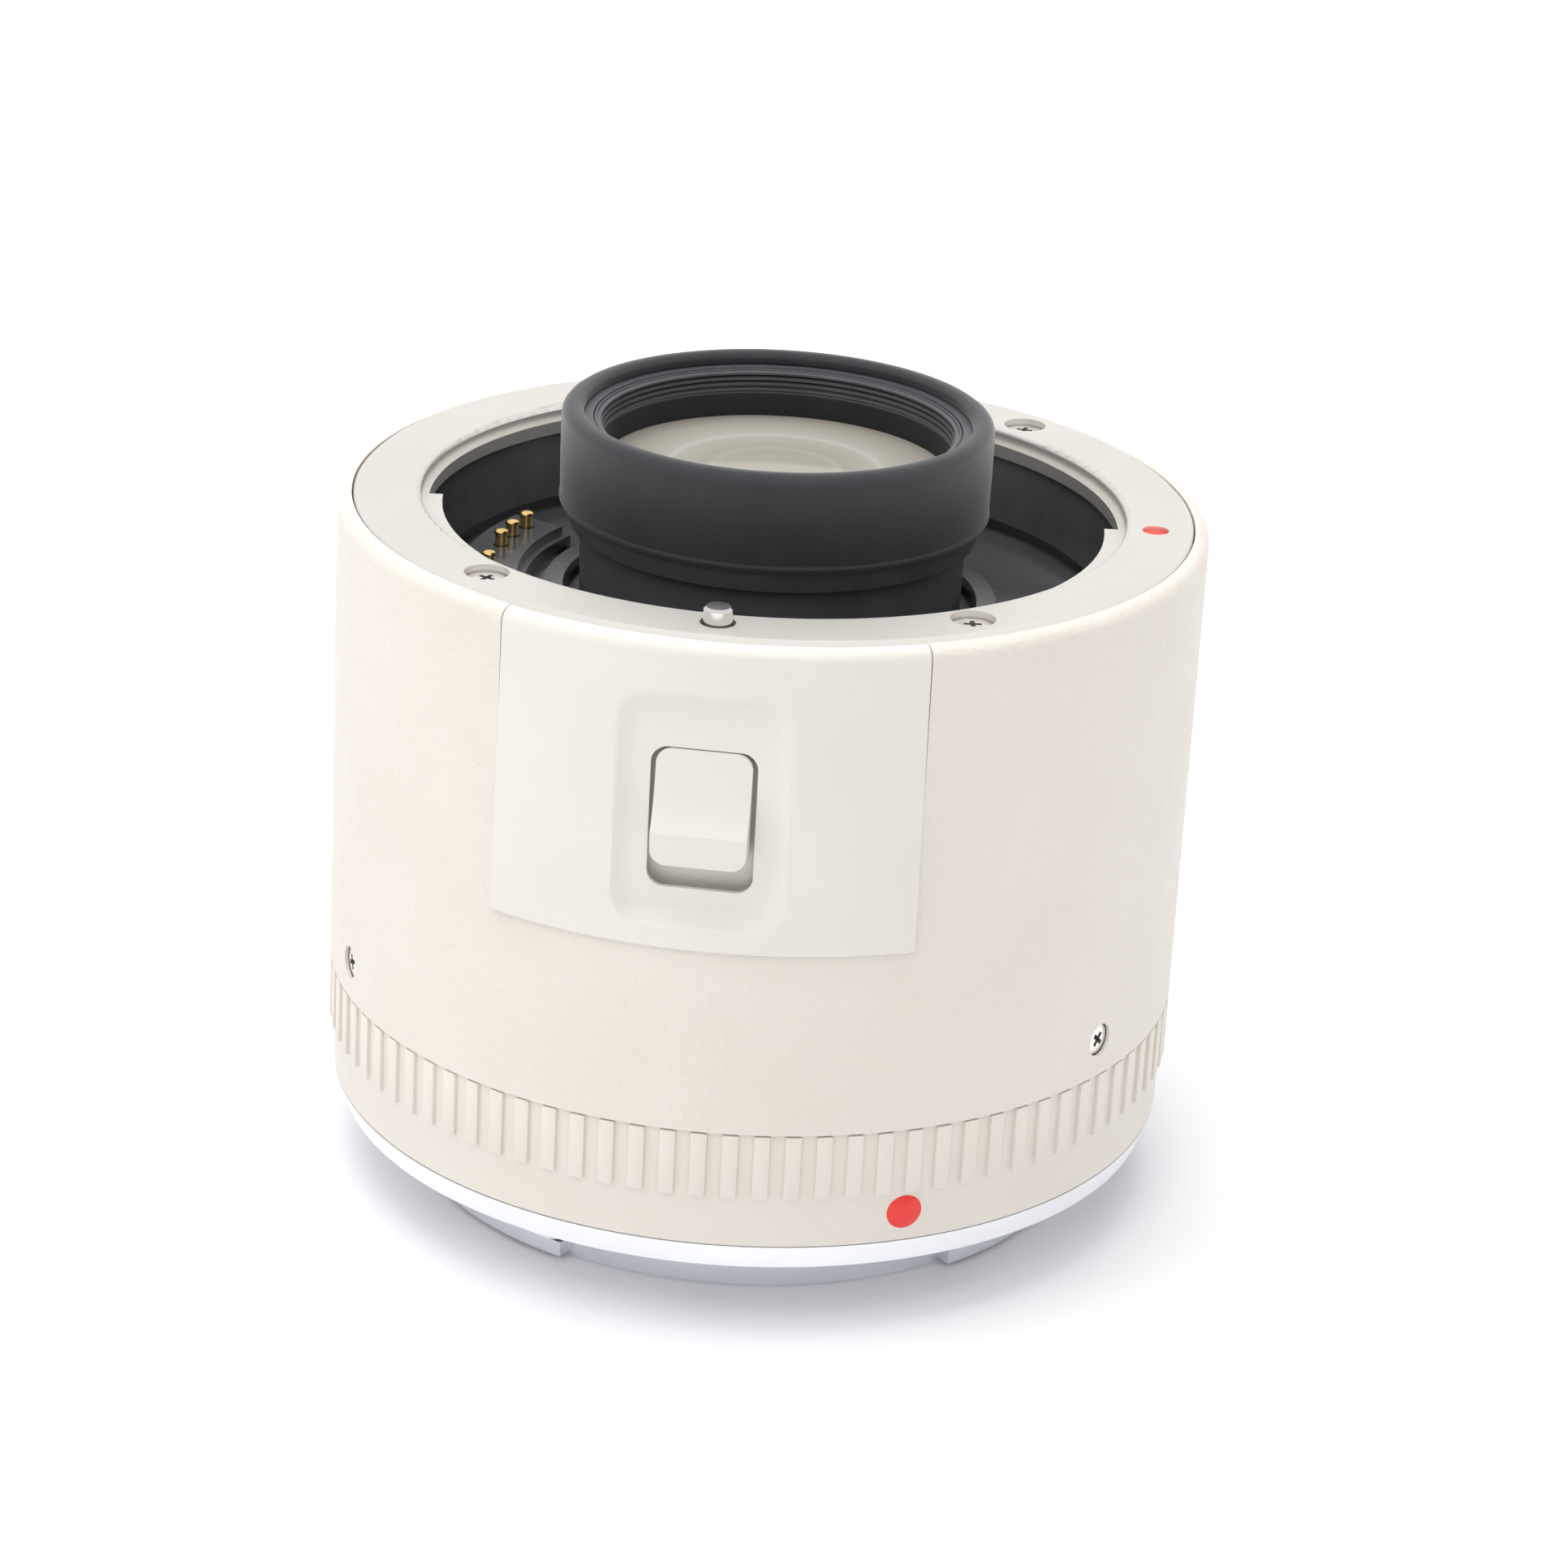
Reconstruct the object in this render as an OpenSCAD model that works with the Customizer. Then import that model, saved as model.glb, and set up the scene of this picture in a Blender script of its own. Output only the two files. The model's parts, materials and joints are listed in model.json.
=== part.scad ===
// Tele converter that fits between a camera and its lens, standing on its camera end.
// +Z is the optical axis and points to the lens. The release switch faces -Y.
// Angles named _at are counted from -Y towards +X, seen from the lens side.

/* [Barrel] */
// Length from the barrel's lower edge to the front mounting face
barrel_len = 40.9; // [38:0.1:46]
// Width of the barrel's shoulder round the front mount
barrel_rim = 1.2; // [1.15:0.05:1.6]
// Wall of the barrel
barrel_wall = 2.3; // [2.1:0.1:2.6]
// Rounding of the barrel's front edge
shoulder_round = 1.1; // [0.6:0.1:1.15]
// Thickness of the inner shelf that carries the front mount
shelf_t = 2.8; // [2.4:0.1:3.4]

/* [Front mount] */
// Diameter of the throat that centres a lens
throat_d = 58.0; // [54:0.1:62]
// Width of the front mount ring's face
mount_w = 5.55; // [5.2:0.05:6.2]
// Height of the front mount ring
mount_h = 2.4; // [2.2:0.1:2.6]
// How far the ring's face stands over the barrel's edge
mount_stand = 0.3; // [0.2:0.05:0.5]
// Bevel round the outside of the mount ring's face
mount_bevel = 0.4; // [0.2:0.05:0.5]
// Rounding of the throat's edge
throat_round = 0.5; // [0.3:0.05:0.7]
// How far the ledge below the throat reaches in from it
ledge_in = 0.55; // [0.4:0.05:0.7]
// How far the claws reach in from the throat
claw_in = 1.7; // [1.5:0.05:1.9]
// Depth of the claws below the mounting face
claw_depth = 1.3; // [1.1:0.05:1.5]
// Width of each claw in degrees
claw_angle = 59; // [54:1:62]
// Direction of the first claw's middle
claw_at = 67; // [62:0.5:72]
// Distance of the mount screws from the ring's outer edge
mount_screw_in = 3.1; // [2.8:0.05:3.2]
// Width of the index mark on the mount face
index_d = 2.2; // [1.6:0.1:2.6]
// Direction of the index mark
index_at = 90; // [84:1:96]

/* [Front well] */
// Depth of the well floor below the mounting face
well_depth = 9.0; // [8.4:0.1:9.6]
// Thickness of the light shield's floor
shield_floor = 1.0; // [0.8:0.1:1.2]
// Wall of the light shield
shield_wall = 0.6; // [0.5:0.1:0.8]

/* [Optics] */
// Outer diameter of the rubber hood
hood_d = 35.5; // [35:0.1:36.4]
// Height of the rubber hood
hood_h = 7.3; // [6.8:0.1:7.8]
// How far the hood's rim stands over the mounting face
hood_stand = 7.5; // [7:0.1:8]
// How far the hood stands out from the front cell under it
hood_step = 0.95; // [0.6:0.05:1.2]
// Wall of the inner lens tube round the front cell
tube_wall = 3.2; // [2.6:0.1:3.4]
// Diameter of the middle lens groups
inner_lens_d = 25; // [24:0.2:25.6]
// Diameter of the rear lens groups
rear_lens_d = 28; // [27:0.2:28.8]

/* [Grip ring] */
// Height of the grip ring below the barrel
grip_h = 10.1; // [9.4:0.1:11]
// Height of the smooth band under the ribs
band_h = 4.4; // [4:0.1:4.8]
// How far the smooth band's lower edge draws in from the barrel
band_in = 0.45; // [0.43:0.01:0.6]
// Number of grooves in the grip
rib_count = 90; // [60:1:100]
// Width of one groove
rib_groove_w = 1.2; // [0.8:0.05:1.3]
// Depth of one groove
rib_groove_depth = 0.4; // [0.3:0.05:0.5]
// Diameter of the round alignment dot
dot_d = 3.1; // [2.6:0.1:3.4]
// Direction of the alignment dot
dot_at = 29; // [20:1:38]

/* [Rear mount] */
// Height of the rear mount's flange
flange_h = 2.1; // [1.9:0.1:2.6]
// How far the rear flange draws in below the band
flange_in = 0.7; // [0.4:0.05:1]
// Length of the bayonet neck below the rear mounting face
neck_len = 5.9; // [5.6:0.1:6.4]
// Wall of the bayonet neck
neck_wall = 1.7; // [1.5:0.1:1.9]
// Height of the locating shoulder
spigot_h = 1.3; // [1.1:0.1:1.5]
// Thickness of a bayonet tab
tab_h = 1.3; // [1.1:0.1:1.5]
// Height of the tabs above the neck's end
tab_lift = 0.4; // [0.3:0.1:0.6]
// Width of each tab in degrees
tab_angle = 51; // [46:1:54]
// Direction of the first tab's middle
tab_at = 71; // [66:1:76]
// Distance of the rear mount screws from the locating shoulder
rear_screw_out = 2.3; // [2:0.1:2.6]

/* [Release switch] */
// Width of the switch panel in degrees
panel_angle = 54.8; // [52:0.2:58]
// Depth of the panel's lower edge below the front mounting face
panel_drop = 25.3; // [24.8:0.1:27.2]
// Thickness of the panel at its upper edge
panel_t = 1.2; // [1.1:0.05:1.3]
// How far the panel's lower edge stands out from the barrel
panel_proud = 0.75; // [0.5:0.05:1]
// Width of the panel's dished recess
dish_w = 14; // [13:0.2:15]
// Height of the panel's dished recess
dish_h = 19.4; // [18.8:0.2:20]
// Depth of the dish below the barrel's surface
dish_depth = 0.75; // [0.6:0.05:0.85]
// Width of the window in the dish
window_w = 8.75; // [8.5:0.05:9]
// Height of the window in the dish
window_h = 11.6; // [11.5:0.1:12]
// Depth of the window's top below the front mounting face
window_drop = 9.05; // [8.8:0.05:9.4]
// Width of the release knob
knob_w = 7.85; // [7.6:0.05:8.1]
// How far the knob's crest stands out from the barrel
knob_proud = 0.85; // [0.5:0.05:1.1]
// Travel of the switch and its lock pin
release_travel = 2.2; // [2:0.1:2.3]
// Diameter of the lock pin
lock_pin_d = 2.3; // [2:0.1:2.4]
// How far the lock pin stands out of the mounting face
lock_pin_stand = 1.3; // [1:0.1:1.6]
// Distance of the lock pin from the mount ring's outer edge
lock_pin_in = 3.3; // [3.1:0.05:3.4]

/* [Contacts] */
// Diameter of a contact pin
contact_d = 1.1; // [1:0.05:1.2]
// Travel of a contact pin
contact_travel = 1.0; // [0.8:0.05:1.1]
// Distance of the contact pins from the claws
contact_in = 3.9; // [3.6:0.1:4.2]
// Angle between neighbouring contacts
contact_pitch = 6.5; // [6.2:0.1:6.8]
// Depth of the contact tips below the front mounting face
contact_drop = 5.95; // [5.7:0.05:6.2]
// Width of a rear contact pad
pad_d = 1.8; // [1.5:0.1:1.9]

/* [Clearances] */
// Running clearance of sliding pins, on the radius
run_gap = 0.05; // [0.03:0.01:0.06]
// Clearance of parts that are fitted together
fit_gap = 0.05; // [0.03:0.01:0.08]
// Open seam between outer parts
seam_gap = 0.15; // [0.1:0.01:0.2]
// Room around moving plates
slide_gap = 0.1; // [0.08:0.01:0.14]
// Room of the locating shoulder in a throat, on the radius
spigot_room = 0.1; // [0.05:0.01:0.15]
// Room of the bayonet tabs inside a ledge, on the radius
tab_room = 0.15; // [0.1:0.01:0.25]
// Room of the bayonet neck inside the claws, on the radius
neck_room = 0.2; // [0.1:0.01:0.3]

/* [Hidden] */
$fn = 96;

// Radii
throat_r = throat_d / 2;
ledge_r = throat_r - ledge_in;
claw_r = throat_r - claw_in;
mount_r = throat_r + mount_w;
mount_seat_r = mount_r + seam_gap;
barrel_r = mount_seat_r + barrel_rim;
bore_r = barrel_r - barrel_wall;
neck_r = claw_r - neck_room;
neck_bore_r = neck_r - neck_wall;
spigot_r = throat_r - spigot_room;
tab_r = ledge_r - tab_room;
hood_r = hood_d / 2;
cell_r = hood_r - hood_step;
tube_r = cell_r + tube_wall;
lock_pin_r = mount_r - lock_pin_in;
contact_r = claw_r - contact_in;
panel_seat_r = barrel_r - panel_t;
grip_spigot_r = bore_r - fit_gap;
grip_spigot_wall = 3;
grip_inner_r = grip_spigot_r - grip_spigot_wall;
web_room = 1.1;
web_hole_r = neck_r + web_room;
web_t = 3.5;
band_low_r = barrel_r - band_in;
flange_low_r = band_low_r - flange_in;

// Heights, from the end of the bayonet neck up
z_rear = neck_len;
z_grip = z_rear + flange_h;
z_seam = z_grip + grip_h;
z_front = z_seam + barrel_len;
z_edge = z_front - mount_stand;
z_shelf = z_front - mount_h;
z_shelf_low = z_shelf - shelf_t;
z_well = z_front - well_depth;
z_floor_low = z_well - shield_floor;
z_hood_top = z_front + hood_stand;
z_hood = z_hood_top - hood_h;

// Stop pin at the end of one bayonet tab
stop_pin_d = 1.8;
neck_bevel = 0.2;
stop_pin_back = 1.7;
z_stop_pin = tab_lift + tab_h + stop_pin_d / 2 + fit_gap;
stop_pin_at = tab_at - 120 + tab_angle / 2 - stop_pin_back;

// Screws: shank and head sizes
screw_d = 2.0;
mount_head_d = 3.3;
mount_head_h = 0.8;
mount_head_sink = 0.45;
mount_screw_at = [-37.5, 37, 144, -150];
mount_screw_r = mount_r - mount_screw_in;
small_screw_d = 1.6;
small_head_d = 2.7;
small_head_h = 0.8;
small_head_sink = 0.25;
cross_w = 0.4;
cross_l = 1.7;
cross_depth = 0.45;
barrel_screw_at = [-60, 60, 180];
barrel_screw_h = 3.15;
z_barrel_screw = z_seam + barrel_screw_h;
rib_from = -0.3;
rib_step = 0.03;
band_top_r = barrel_r - rib_groove_depth - rib_step;
dot_rise = 2.6;
dot_depth = 1.4;
dot_dome_r = 4.5;
z_dot = z_grip + dot_rise;
dot_face_r = band_low_r + (band_top_r - band_low_r) * dot_rise / band_h;
index_depth = 0.6;
index_sink = 0.25;
barrel_screw_len = 3.6;
rear_screw_at = [42, 132, 222, 312];
rear_screw_r = spigot_r + rear_screw_out;
rear_head_d = 3.2;
rear_head_h = 0.9;
rear_head_sink = 0.1;
rear_screw_len = 4.1;
rear_lock_back = 26;
rear_lock_depth = 1.4;
fix_screw_d = 1.2;
fix_head_d = 2.2;
fix_head_h = 0.7;
fix_sink = 0.2;
fix_screw_len = 5.6;

// Front light shield
shield_lip_t = 0.6;
shield_lip_w = 0.3;
shield_back = 0.5;
shield_r = throat_r + shield_back;
shelf_inner_r = shield_r + slide_gap;
shelf_lip_r = shield_r + shield_lip_w + slide_gap;
shield_taper = 1.2;
shield_slot = 1.2;
collar_w = 1.6;
collar_h = 0.8;
cell_room = 0.4;
groove_inset = 0.6;
groove_from_r = cell_r + cell_room + collar_w + groove_inset;
groove_w = 1.2;
groove_depth = 0.5;
groove_angle = 30;

// Leaf springs under the claws
leaf_len = 10;
leaf_w = 0.8;
leaf_t = 0.25;
leaf_bow_r = 60;
leaf_inset = 0.15;

// Optical stack, from the rear to the front
tube_lift = 0.7;
z_tube = z_grip + tube_lift;
grip_spigot_h = 5.5;
z_tube_flange = z_seam + grip_spigot_h;
tube_flange_t = 2;
stop_rise = 0.4;
z_stop = z_tube_flange + stop_rise;
stop_t = 1.6;
inner_lens_r = inner_lens_d / 2;
rear_lens_r = rear_lens_d / 2;
stop_lip = 1.4;
stop_r = inner_lens_r - stop_lip;
cell_seat_t = 3;
z_cell = z_floor_low - cell_seat_t;
cell_foot_w = 1.6;
cell_wall = 1.7;
front_lens_r = cell_r - cell_wall;
front_clear_in = 1.1;
front_clear_r = front_lens_r - front_clear_in;
front_glass_depth = 4.4;
z_front_glass = z_hood_top - front_glass_depth;
tube_screw_at = [0, 120, 240];
tube_screw_r = grip_spigot_r - grip_spigot_wall / 2;
tube_screw_len = 4;
tube_flange_room = 0.2;

// Glass: rims are flat, the faces curve inside the clear radius
glass_rim = 1.3;
front_glass_rim = 1.5;
front_rim_h = 0.9;
front_back_h = 5.4;
triplet_outer_h = 3.6;
triplet_mid_h = 2;
relay_low_h = 3;
relay_high_h = 0.9;
field_h = 3.2;
rear_glass_h = 4;
rear_glass_lift = 4.3;
rear_ring_h = 2;
front_face = 95;
front_join = 40;
front_hollow = 60;
triplet_front = 60;
triplet_join = 45;
triplet_back = 50;
relay_front = 60;
relay_join = 40;
relay_back = 200;
field_front = 120;
field_back = 60;
rear_front = 90;
rear_back = 45;
z_seat = z_stop + stop_t;
z_front_seat = z_front_glass - front_rim_h - front_back_h;
z_triplet = z_cell - 2 * triplet_outer_h - triplet_mid_h;
z_relay_top = z_seat + relay_low_h + relay_high_h;
z_field = z_stop - field_h;
z_rear_glass = z_tube + rear_glass_lift;
z_rear_glass_top = z_rear_glass + rear_glass_h;

// Hood and its inner baffle
hood_wall = 1.15;
hood_round = 0.6;
hood_lip_w = 0.4;
hood_lip_h = 1.1;
hood_inner_r = hood_r - hood_wall;
z_cell_top = z_hood_top - hood_lip_h - fit_gap;
baffle_steps = 4;
baffle_step = 0.26;

// Front contacts: a group of three and a group of seven
contact_small = 3;
contact_large = 7;
contact_count = contact_small + contact_large;
contact_first_at = -109.3;
contact_skip = 14;
contact_end = 5;
block_w = 4.8;
block_stand = 1.6;
block_lip_w = 0.6;
block_lip_h = 0.8;
block_lip_angle = 1.2;
block_room = 0.2;
block_deep = 4.2;
contact_flange_d = 1.7;
contact_flange_h = 0.5;
contact_stem_d = 0.8;
contact_stem_len = 2.2;
spring_od = 1.6;
spring_id = 0.95;
flex_t = 0.4;
tail_t = 0.2;
tail_angle = 12;
tail_r = contact_r + block_w / 2 + 1.2;
tail_foot = 2.1;
function contact_at(i) = contact_first_at + i * contact_pitch
    + (i < contact_small ? 0 : contact_skip - contact_pitch);
block_from = contact_at(0) - contact_end;
block_to = contact_at(contact_count - 1) + contact_end;
block_mid = (block_from + block_to) / 2;
z_tip = z_front - contact_drop;
z_block = z_well + block_stand;
z_block_low = z_well - block_deep;
block_roof = 1.6;
z_contact_stop = z_block - block_roof;

// Rear contacts and light shield
rear_block_r = neck_bore_r - slide_gap;
rear_block_w = 4.2;
rear_block_h = 4.5;
rear_block_lift = 0.7;
rear_block_end = 10;
pad_inset = 2;
pad_r = rear_block_r - pad_inset;
pad_t = 0.85;
pad_stand = 0.15;
flex_angle = 10;
rear_tail_out = 0.7;
rear_tail_r = pad_r + rear_tail_out;
rear_block_from = contact_at(0) - rear_block_end;
rear_block_to = contact_at(contact_count - 1) + rear_block_end;
rear_fix_in = 3.5;
rear_fix_at = [rear_block_from + rear_fix_in, rear_block_to - rear_fix_in];
rear_shield_wall = 1.3;
rear_shield_lift = 1;
rear_shield_plate = 1;
rear_shield_lip_t = 0.6;
rear_shield_room = 0.8;
rear_shield_hole_r = rear_lens_r + rear_shield_room;
z_rear_block_top = rear_block_lift + rear_block_h;

// Circuit board on the tube's flange
board_t = 0.8;
board_edge = 2;
board_room = 1.8;
board_in_r = tube_r + board_room;
board_out_r = tube_screw_r - board_edge;
board_from = 35;
board_to = 325;
z_board = z_tube_flange + tube_flange_t;
chip_at = [150, 205, 250];
chip_w = 4;
chip_h = 1;

// Release switch
panel_half = panel_angle / 2;
z_panel = z_front - panel_drop;
panel_seam_deg = seam_gap / barrel_r * 180 / PI;
dish_drop = 4.3;
z_dish_top = z_front - dish_drop;
z_dish = z_dish_top - dish_h;
dish_round = 3;
dish_slope = 0.9;
dish_floor_y = -(barrel_r - dish_depth);
panel_edge_cut = 0.25;
z_window_top = z_front - window_drop;
z_window = z_window_top - window_h;
window_round = 1.4;
window_lip = 0.45;
z_knob_top = z_window_top - slide_gap;
z_knob = z_window + release_travel + slide_gap;
knob_h = z_knob_top - z_knob;
knob_round = 1.3;
knob_skirt = 0.6;
skirt_t = 0.7;
z_skirt = z_window - knob_skirt;
skirt_w = window_w + 2 * knob_skirt;
knob_nose_in = 0.35;
knob_crest_h = 2.75;
knob_head_t = 0.75;
knob_hollow_r = 9;
knob_hollow_depth = 1.5;
knob_hollow_drop = 1;
plate_t = 0.8;
plate_w = 11.8;
plate_in = 0.6;
plate_y = -(bore_r - plate_in);
plate_over = 2.3;
plate_under = 0.75;
z_plate = z_window - plate_under;
z_plate_top = z_knob_top + plate_over;
pin_block_w = 4;
pin_block_h = 2;
pin_block_t = 2.8;
pin_shank_d = 1.6;
pin_bevel = 0.3;
pin_room = 0.25;
pin_shank_len = 1.6;
spring_foot_w = 3;
spring_foot_t = 0.8;
guide_t = 0.8;
guide_rail_w = 0.8;
guide_slot_w = 4.6;
guide_ear_w = 3;
guide_ear_h = 4;
guide_back_y = plate_y + plate_t + slide_gap;
guide_rail_x = plate_w / 2 + slide_gap;
guide_half_w = guide_rail_x + guide_rail_w;
lock_spring_in = 0.3;
lock_spring_y = plate_y + plate_t + lock_spring_in;
lock_spring_len = 6;
lock_spring_r = 1.1;
lock_wire_d = 0.35;
lock_turns = 6;
lock_seat_gap = 0.02;
lock_post_d = 1.2;
lock_post_h = 2.4;
guide_ledge_t = 1;
guide_ledge_w = 2.2;
z_spring_seat = z_plate - lock_spring_len;
window_room = 0.4;
barrel_window_half = guide_half_w + window_room;
z_barrel_window = z_plate - release_travel - slide_gap;
z_barrel_window_top = z_plate_top + window_room;
guide_screw_x = guide_half_w + guide_ear_w / 2;
guide_screw_rise = 2;
z_guide_screw = z_window + guide_screw_rise;
guide_screw_len = 1.2;
panel_boss_d = 3;
panel_boss_at = 20;
panel_boss_rise = 12.5;
z_panel_boss = z_panel + panel_boss_rise;
panel_boss_r = bore_r - slide_gap;
panel_screw_len = 1.6;
panel_head_d = 4.4;
panel_head_h = 0.7;

// Shapes that several parts share

// A ring of rectangular section about the optical axis
module ring(r_out, r_in, z0, z1) {
    rotate_extrude() translate([r_in, z0]) square([r_out - r_in, z1 - z0]);
}

// Part of such a ring between two directions
module sector(r_out, r_in, z0, z1, from, to) {
    rotate([0, 0, from - 90]) rotate_extrude(angle = to - from)
        translate([r_in, z0]) square([r_out - r_in, z1 - z0]);
}

// Turns a feature drawn at -Y to another direction
module at(angle) {
    rotate([0, 0, angle]) children();
}

// A rod along the optical axis, at a distance from it
module post(r, d, z0, z1) {
    translate([0, -r, z0]) cylinder(d = d, h = z1 - z0);
}

// A rod that points away from the optical axis
module spoke(d, r0, r1, z) {
    translate([0, -r0, z]) rotate([90, 0, 0]) cylinder(d = d, h = r1 - r0);
}

// What rounding takes off the outer upper corner of a profile
module corner_cut(x, z, r) {
    difference() {
        translate([x - r, z - r]) square(2 * r);
        translate([x - r, z - r]) circle(r);
    }
}

// A rectangle with round corners
module round_rect(w, h, r) {
    square([w - 2 * r, h], center = true);
    square([w, h - 2 * r], center = true);
    for (x = [-1, 1], y = [-1, 1]) translate([x * (w / 2 - r), y * (h / 2 - r)]) circle(r);
}

// Cross-shaped recess of a screw head whose top is at the origin
module cross_cut() {
    for (a = [0, 90]) rotate([0, 0, a]) translate([-cross_l / 2, -cross_w / 2, -cross_depth])
        cube([cross_l, cross_w, 2 * cross_depth]);
}

// A screw that points down, with the top of its head at the origin
module screw(d, len, head_d, head_h) {
    difference() {
        union() {
            translate([0, 0, -head_h]) cylinder(d = head_d, h = head_h);
            translate([0, 0, -head_h - len]) cylinder(d = d, h = len);
        }
        cross_cut();
    }
}

// A glass with flat rims at two heights; a positive face radius bulges out, a negative one is hollow
module glass(r, clear, z0, face0, z1, face1) {
    low = sqrt(face0 * face0 - clear * clear);
    high = sqrt(face1 * face1 - clear * clear);
    rotate_extrude($fn = 360) difference() {
        union() {
            translate([0, z0]) square([r, z1 - z0]);
            if (face0 > 0) intersection() {
                translate([0, z0 + low]) circle(face0);
                translate([0, z0 - face0 + low]) square([r, face0 - low]);
            }
            if (face1 > 0) intersection() {
                translate([0, z1 - high]) circle(face1);
                translate([0, z1]) square([r, face1 - high]);
            }
        }
        if (face0 < 0) translate([0, z0 - low]) circle(-face0);
        if (face1 < 0) translate([0, z1 + high]) circle(-face1);
    }
}

// The barrel and its outer parts

module main_barrel() color("#f0ebe0") difference() {
    union() {
        rotate_extrude() difference() {
            polygon([[barrel_r, z_seam], [barrel_r, z_edge], [mount_seat_r, z_edge],
                [mount_seat_r, z_shelf], [shelf_lip_r, z_shelf], [shelf_lip_r, z_shelf - shield_lip_t],
                [shelf_inner_r, z_shelf - shield_lip_t], [shelf_inner_r, z_shelf_low],
                [bore_r, z_shelf_low], [bore_r, z_seam]]);
            corner_cut(barrel_r, z_edge, shoulder_round);
        }
        for (s = [-1, 1]) translate([s * guide_screw_x - guide_ear_w / 2,
            -bore_r, z_guide_screw - guide_ear_h / 2])
            cube([guide_ear_w, bore_r + guide_back_y, guide_ear_h]);
    }
    sector(barrel_r + 1, panel_seat_r - fit_gap, z_panel - seam_gap, z_edge + 1,
        -panel_half - panel_seam_deg, panel_half + panel_seam_deg);
    translate([-barrel_window_half, -barrel_r - 1, z_barrel_window])
        cube([2 * barrel_window_half, 2 * barrel_wall + 1, z_barrel_window_top - z_barrel_window]);
    for (s = [-1, 1]) {
        translate([s * guide_screw_x - guide_ear_w / 2 - slide_gap, guide_back_y,
            z_guide_screw - guide_ear_h / 2 - slide_gap])
            cube([guide_ear_w + 2 * slide_gap, barrel_wall, guide_ear_h + 2 * slide_gap]);
        translate([s * guide_screw_x, 0, 0])
            spoke(small_screw_d + 2 * fit_gap, -guide_back_y - 1,
                -guide_back_y + guide_screw_len + fit_gap, z_guide_screw);
        at(s * panel_boss_at)
            spoke(panel_boss_d + 2 * fit_gap, bore_r - 1, barrel_r, z_panel_boss);
    }
    post(lock_pin_r, lock_pin_d + 2 * run_gap, z_barrel_window_top - 1, z_shelf + 1);
    for (a = mount_screw_at) at(a)
        post(mount_screw_r, screw_d + 2 * fit_gap, z_shelf_low - 1, z_shelf + 1);
    for (a = barrel_screw_at) at(a) {
        spoke(small_screw_d + 2 * fit_gap, bore_r - 1, barrel_r, z_barrel_screw);
        spoke(small_head_d + 2 * fit_gap, barrel_r - small_head_sink - small_head_h,
            barrel_r + 1, z_barrel_screw);
    }
}

module switch_panel() color("#f4f2ec") difference() {
    union() {
        rotate([0, 0, -90 - panel_half]) rotate_extrude(angle = panel_angle) difference() {
            polygon([[panel_seat_r, z_panel], [barrel_r + panel_proud - panel_edge_cut, z_panel],
                [barrel_r + panel_proud, z_panel + panel_edge_cut],
                [barrel_r, z_edge - shoulder_round], [barrel_r, z_edge], [panel_seat_r, z_edge]]);
            corner_cut(barrel_r, z_edge, shoulder_round);
        }
        for (s = [-1, 1]) at(s * panel_boss_at)
            spoke(panel_boss_d, panel_boss_r, panel_seat_r + panel_t / 2, z_panel_boss);
    }
    translate([0, 0, z_dish + dish_h / 2]) hull() {
        translate([0, dish_floor_y, 0]) rotate([90, 0, 0]) linear_extrude(0.01)
            round_rect(dish_w - 2 * dish_slope, dish_h - 2 * dish_slope, dish_round, $fn = 32);
        translate([0, -barrel_r - panel_proud, 0]) rotate([90, 0, 0]) linear_extrude(0.01)
            round_rect(dish_w, dish_h, dish_round + dish_slope, $fn = 32);
    }
    translate([0, -bore_r, z_window + window_h / 2]) rotate([90, 0, 0])
        linear_extrude(barrel_wall + panel_proud) round_rect(window_w, window_h, window_round);
    translate([-skirt_w / 2 - slide_gap, dish_floor_y + window_lip,
        z_skirt - release_travel - slide_gap])
        cube([skirt_w + 2 * slide_gap, barrel_wall,
            z_window_top + 2 * slide_gap - z_skirt + release_travel]);
    for (s = [-1, 1]) at(s * panel_boss_at)
        spoke(small_screw_d + 2 * fit_gap, panel_boss_r - 1, panel_boss_r + panel_screw_len + fit_gap,
            z_panel_boss);
}

module panel_screws() color("#8c8f94") for (s = [-1, 1]) at(s * panel_boss_at)
    translate([0, -panel_boss_r + panel_head_h, z_panel_boss]) rotate([-90, 0, 0])
        screw(small_screw_d, panel_screw_len, panel_head_d, panel_head_h);

module rear_grip_ring() color("#ece6d9") difference() {
    rotate_extrude() polygon([[web_hole_r, z_grip], [band_low_r, z_grip],
        [band_top_r, z_grip + band_h], [barrel_r, z_grip + band_h], [barrel_r, z_seam - seam_gap],
        [grip_spigot_r, z_seam - seam_gap], [grip_spigot_r, z_tube_flange],
        [grip_inner_r, z_tube_flange], [grip_inner_r, z_grip + web_t], [web_hole_r, z_grip + web_t]]);
    for (i = [0 : rib_count - 1]) at(rib_from + i * 360 / rib_count)
        translate([-rib_groove_w / 2, -barrel_r - 1, z_grip + band_h - 1])
            cube([rib_groove_w, 1 + rib_groove_depth, grip_h]);
    at(dot_at) spoke(dot_d, dot_face_r - dot_depth, barrel_r + 1, z_dot);
    for (a = barrel_screw_at) at(a)
        spoke(small_screw_d + 2 * fit_gap, grip_inner_r - 1, barrel_r, z_barrel_screw);
    for (a = tube_screw_at) at(a)
        post(tube_screw_r, small_screw_d + 2 * fit_gap,
            z_tube_flange + tube_flange_t - tube_screw_len - fit_gap, z_tube_flange + 1);
    for (a = rear_screw_at) at(a)
        post(rear_screw_r, screw_d + 2 * fit_gap, z_grip - 1,
            z_rear + rear_head_sink + rear_head_h + rear_screw_len + fit_gap);
}

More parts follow.
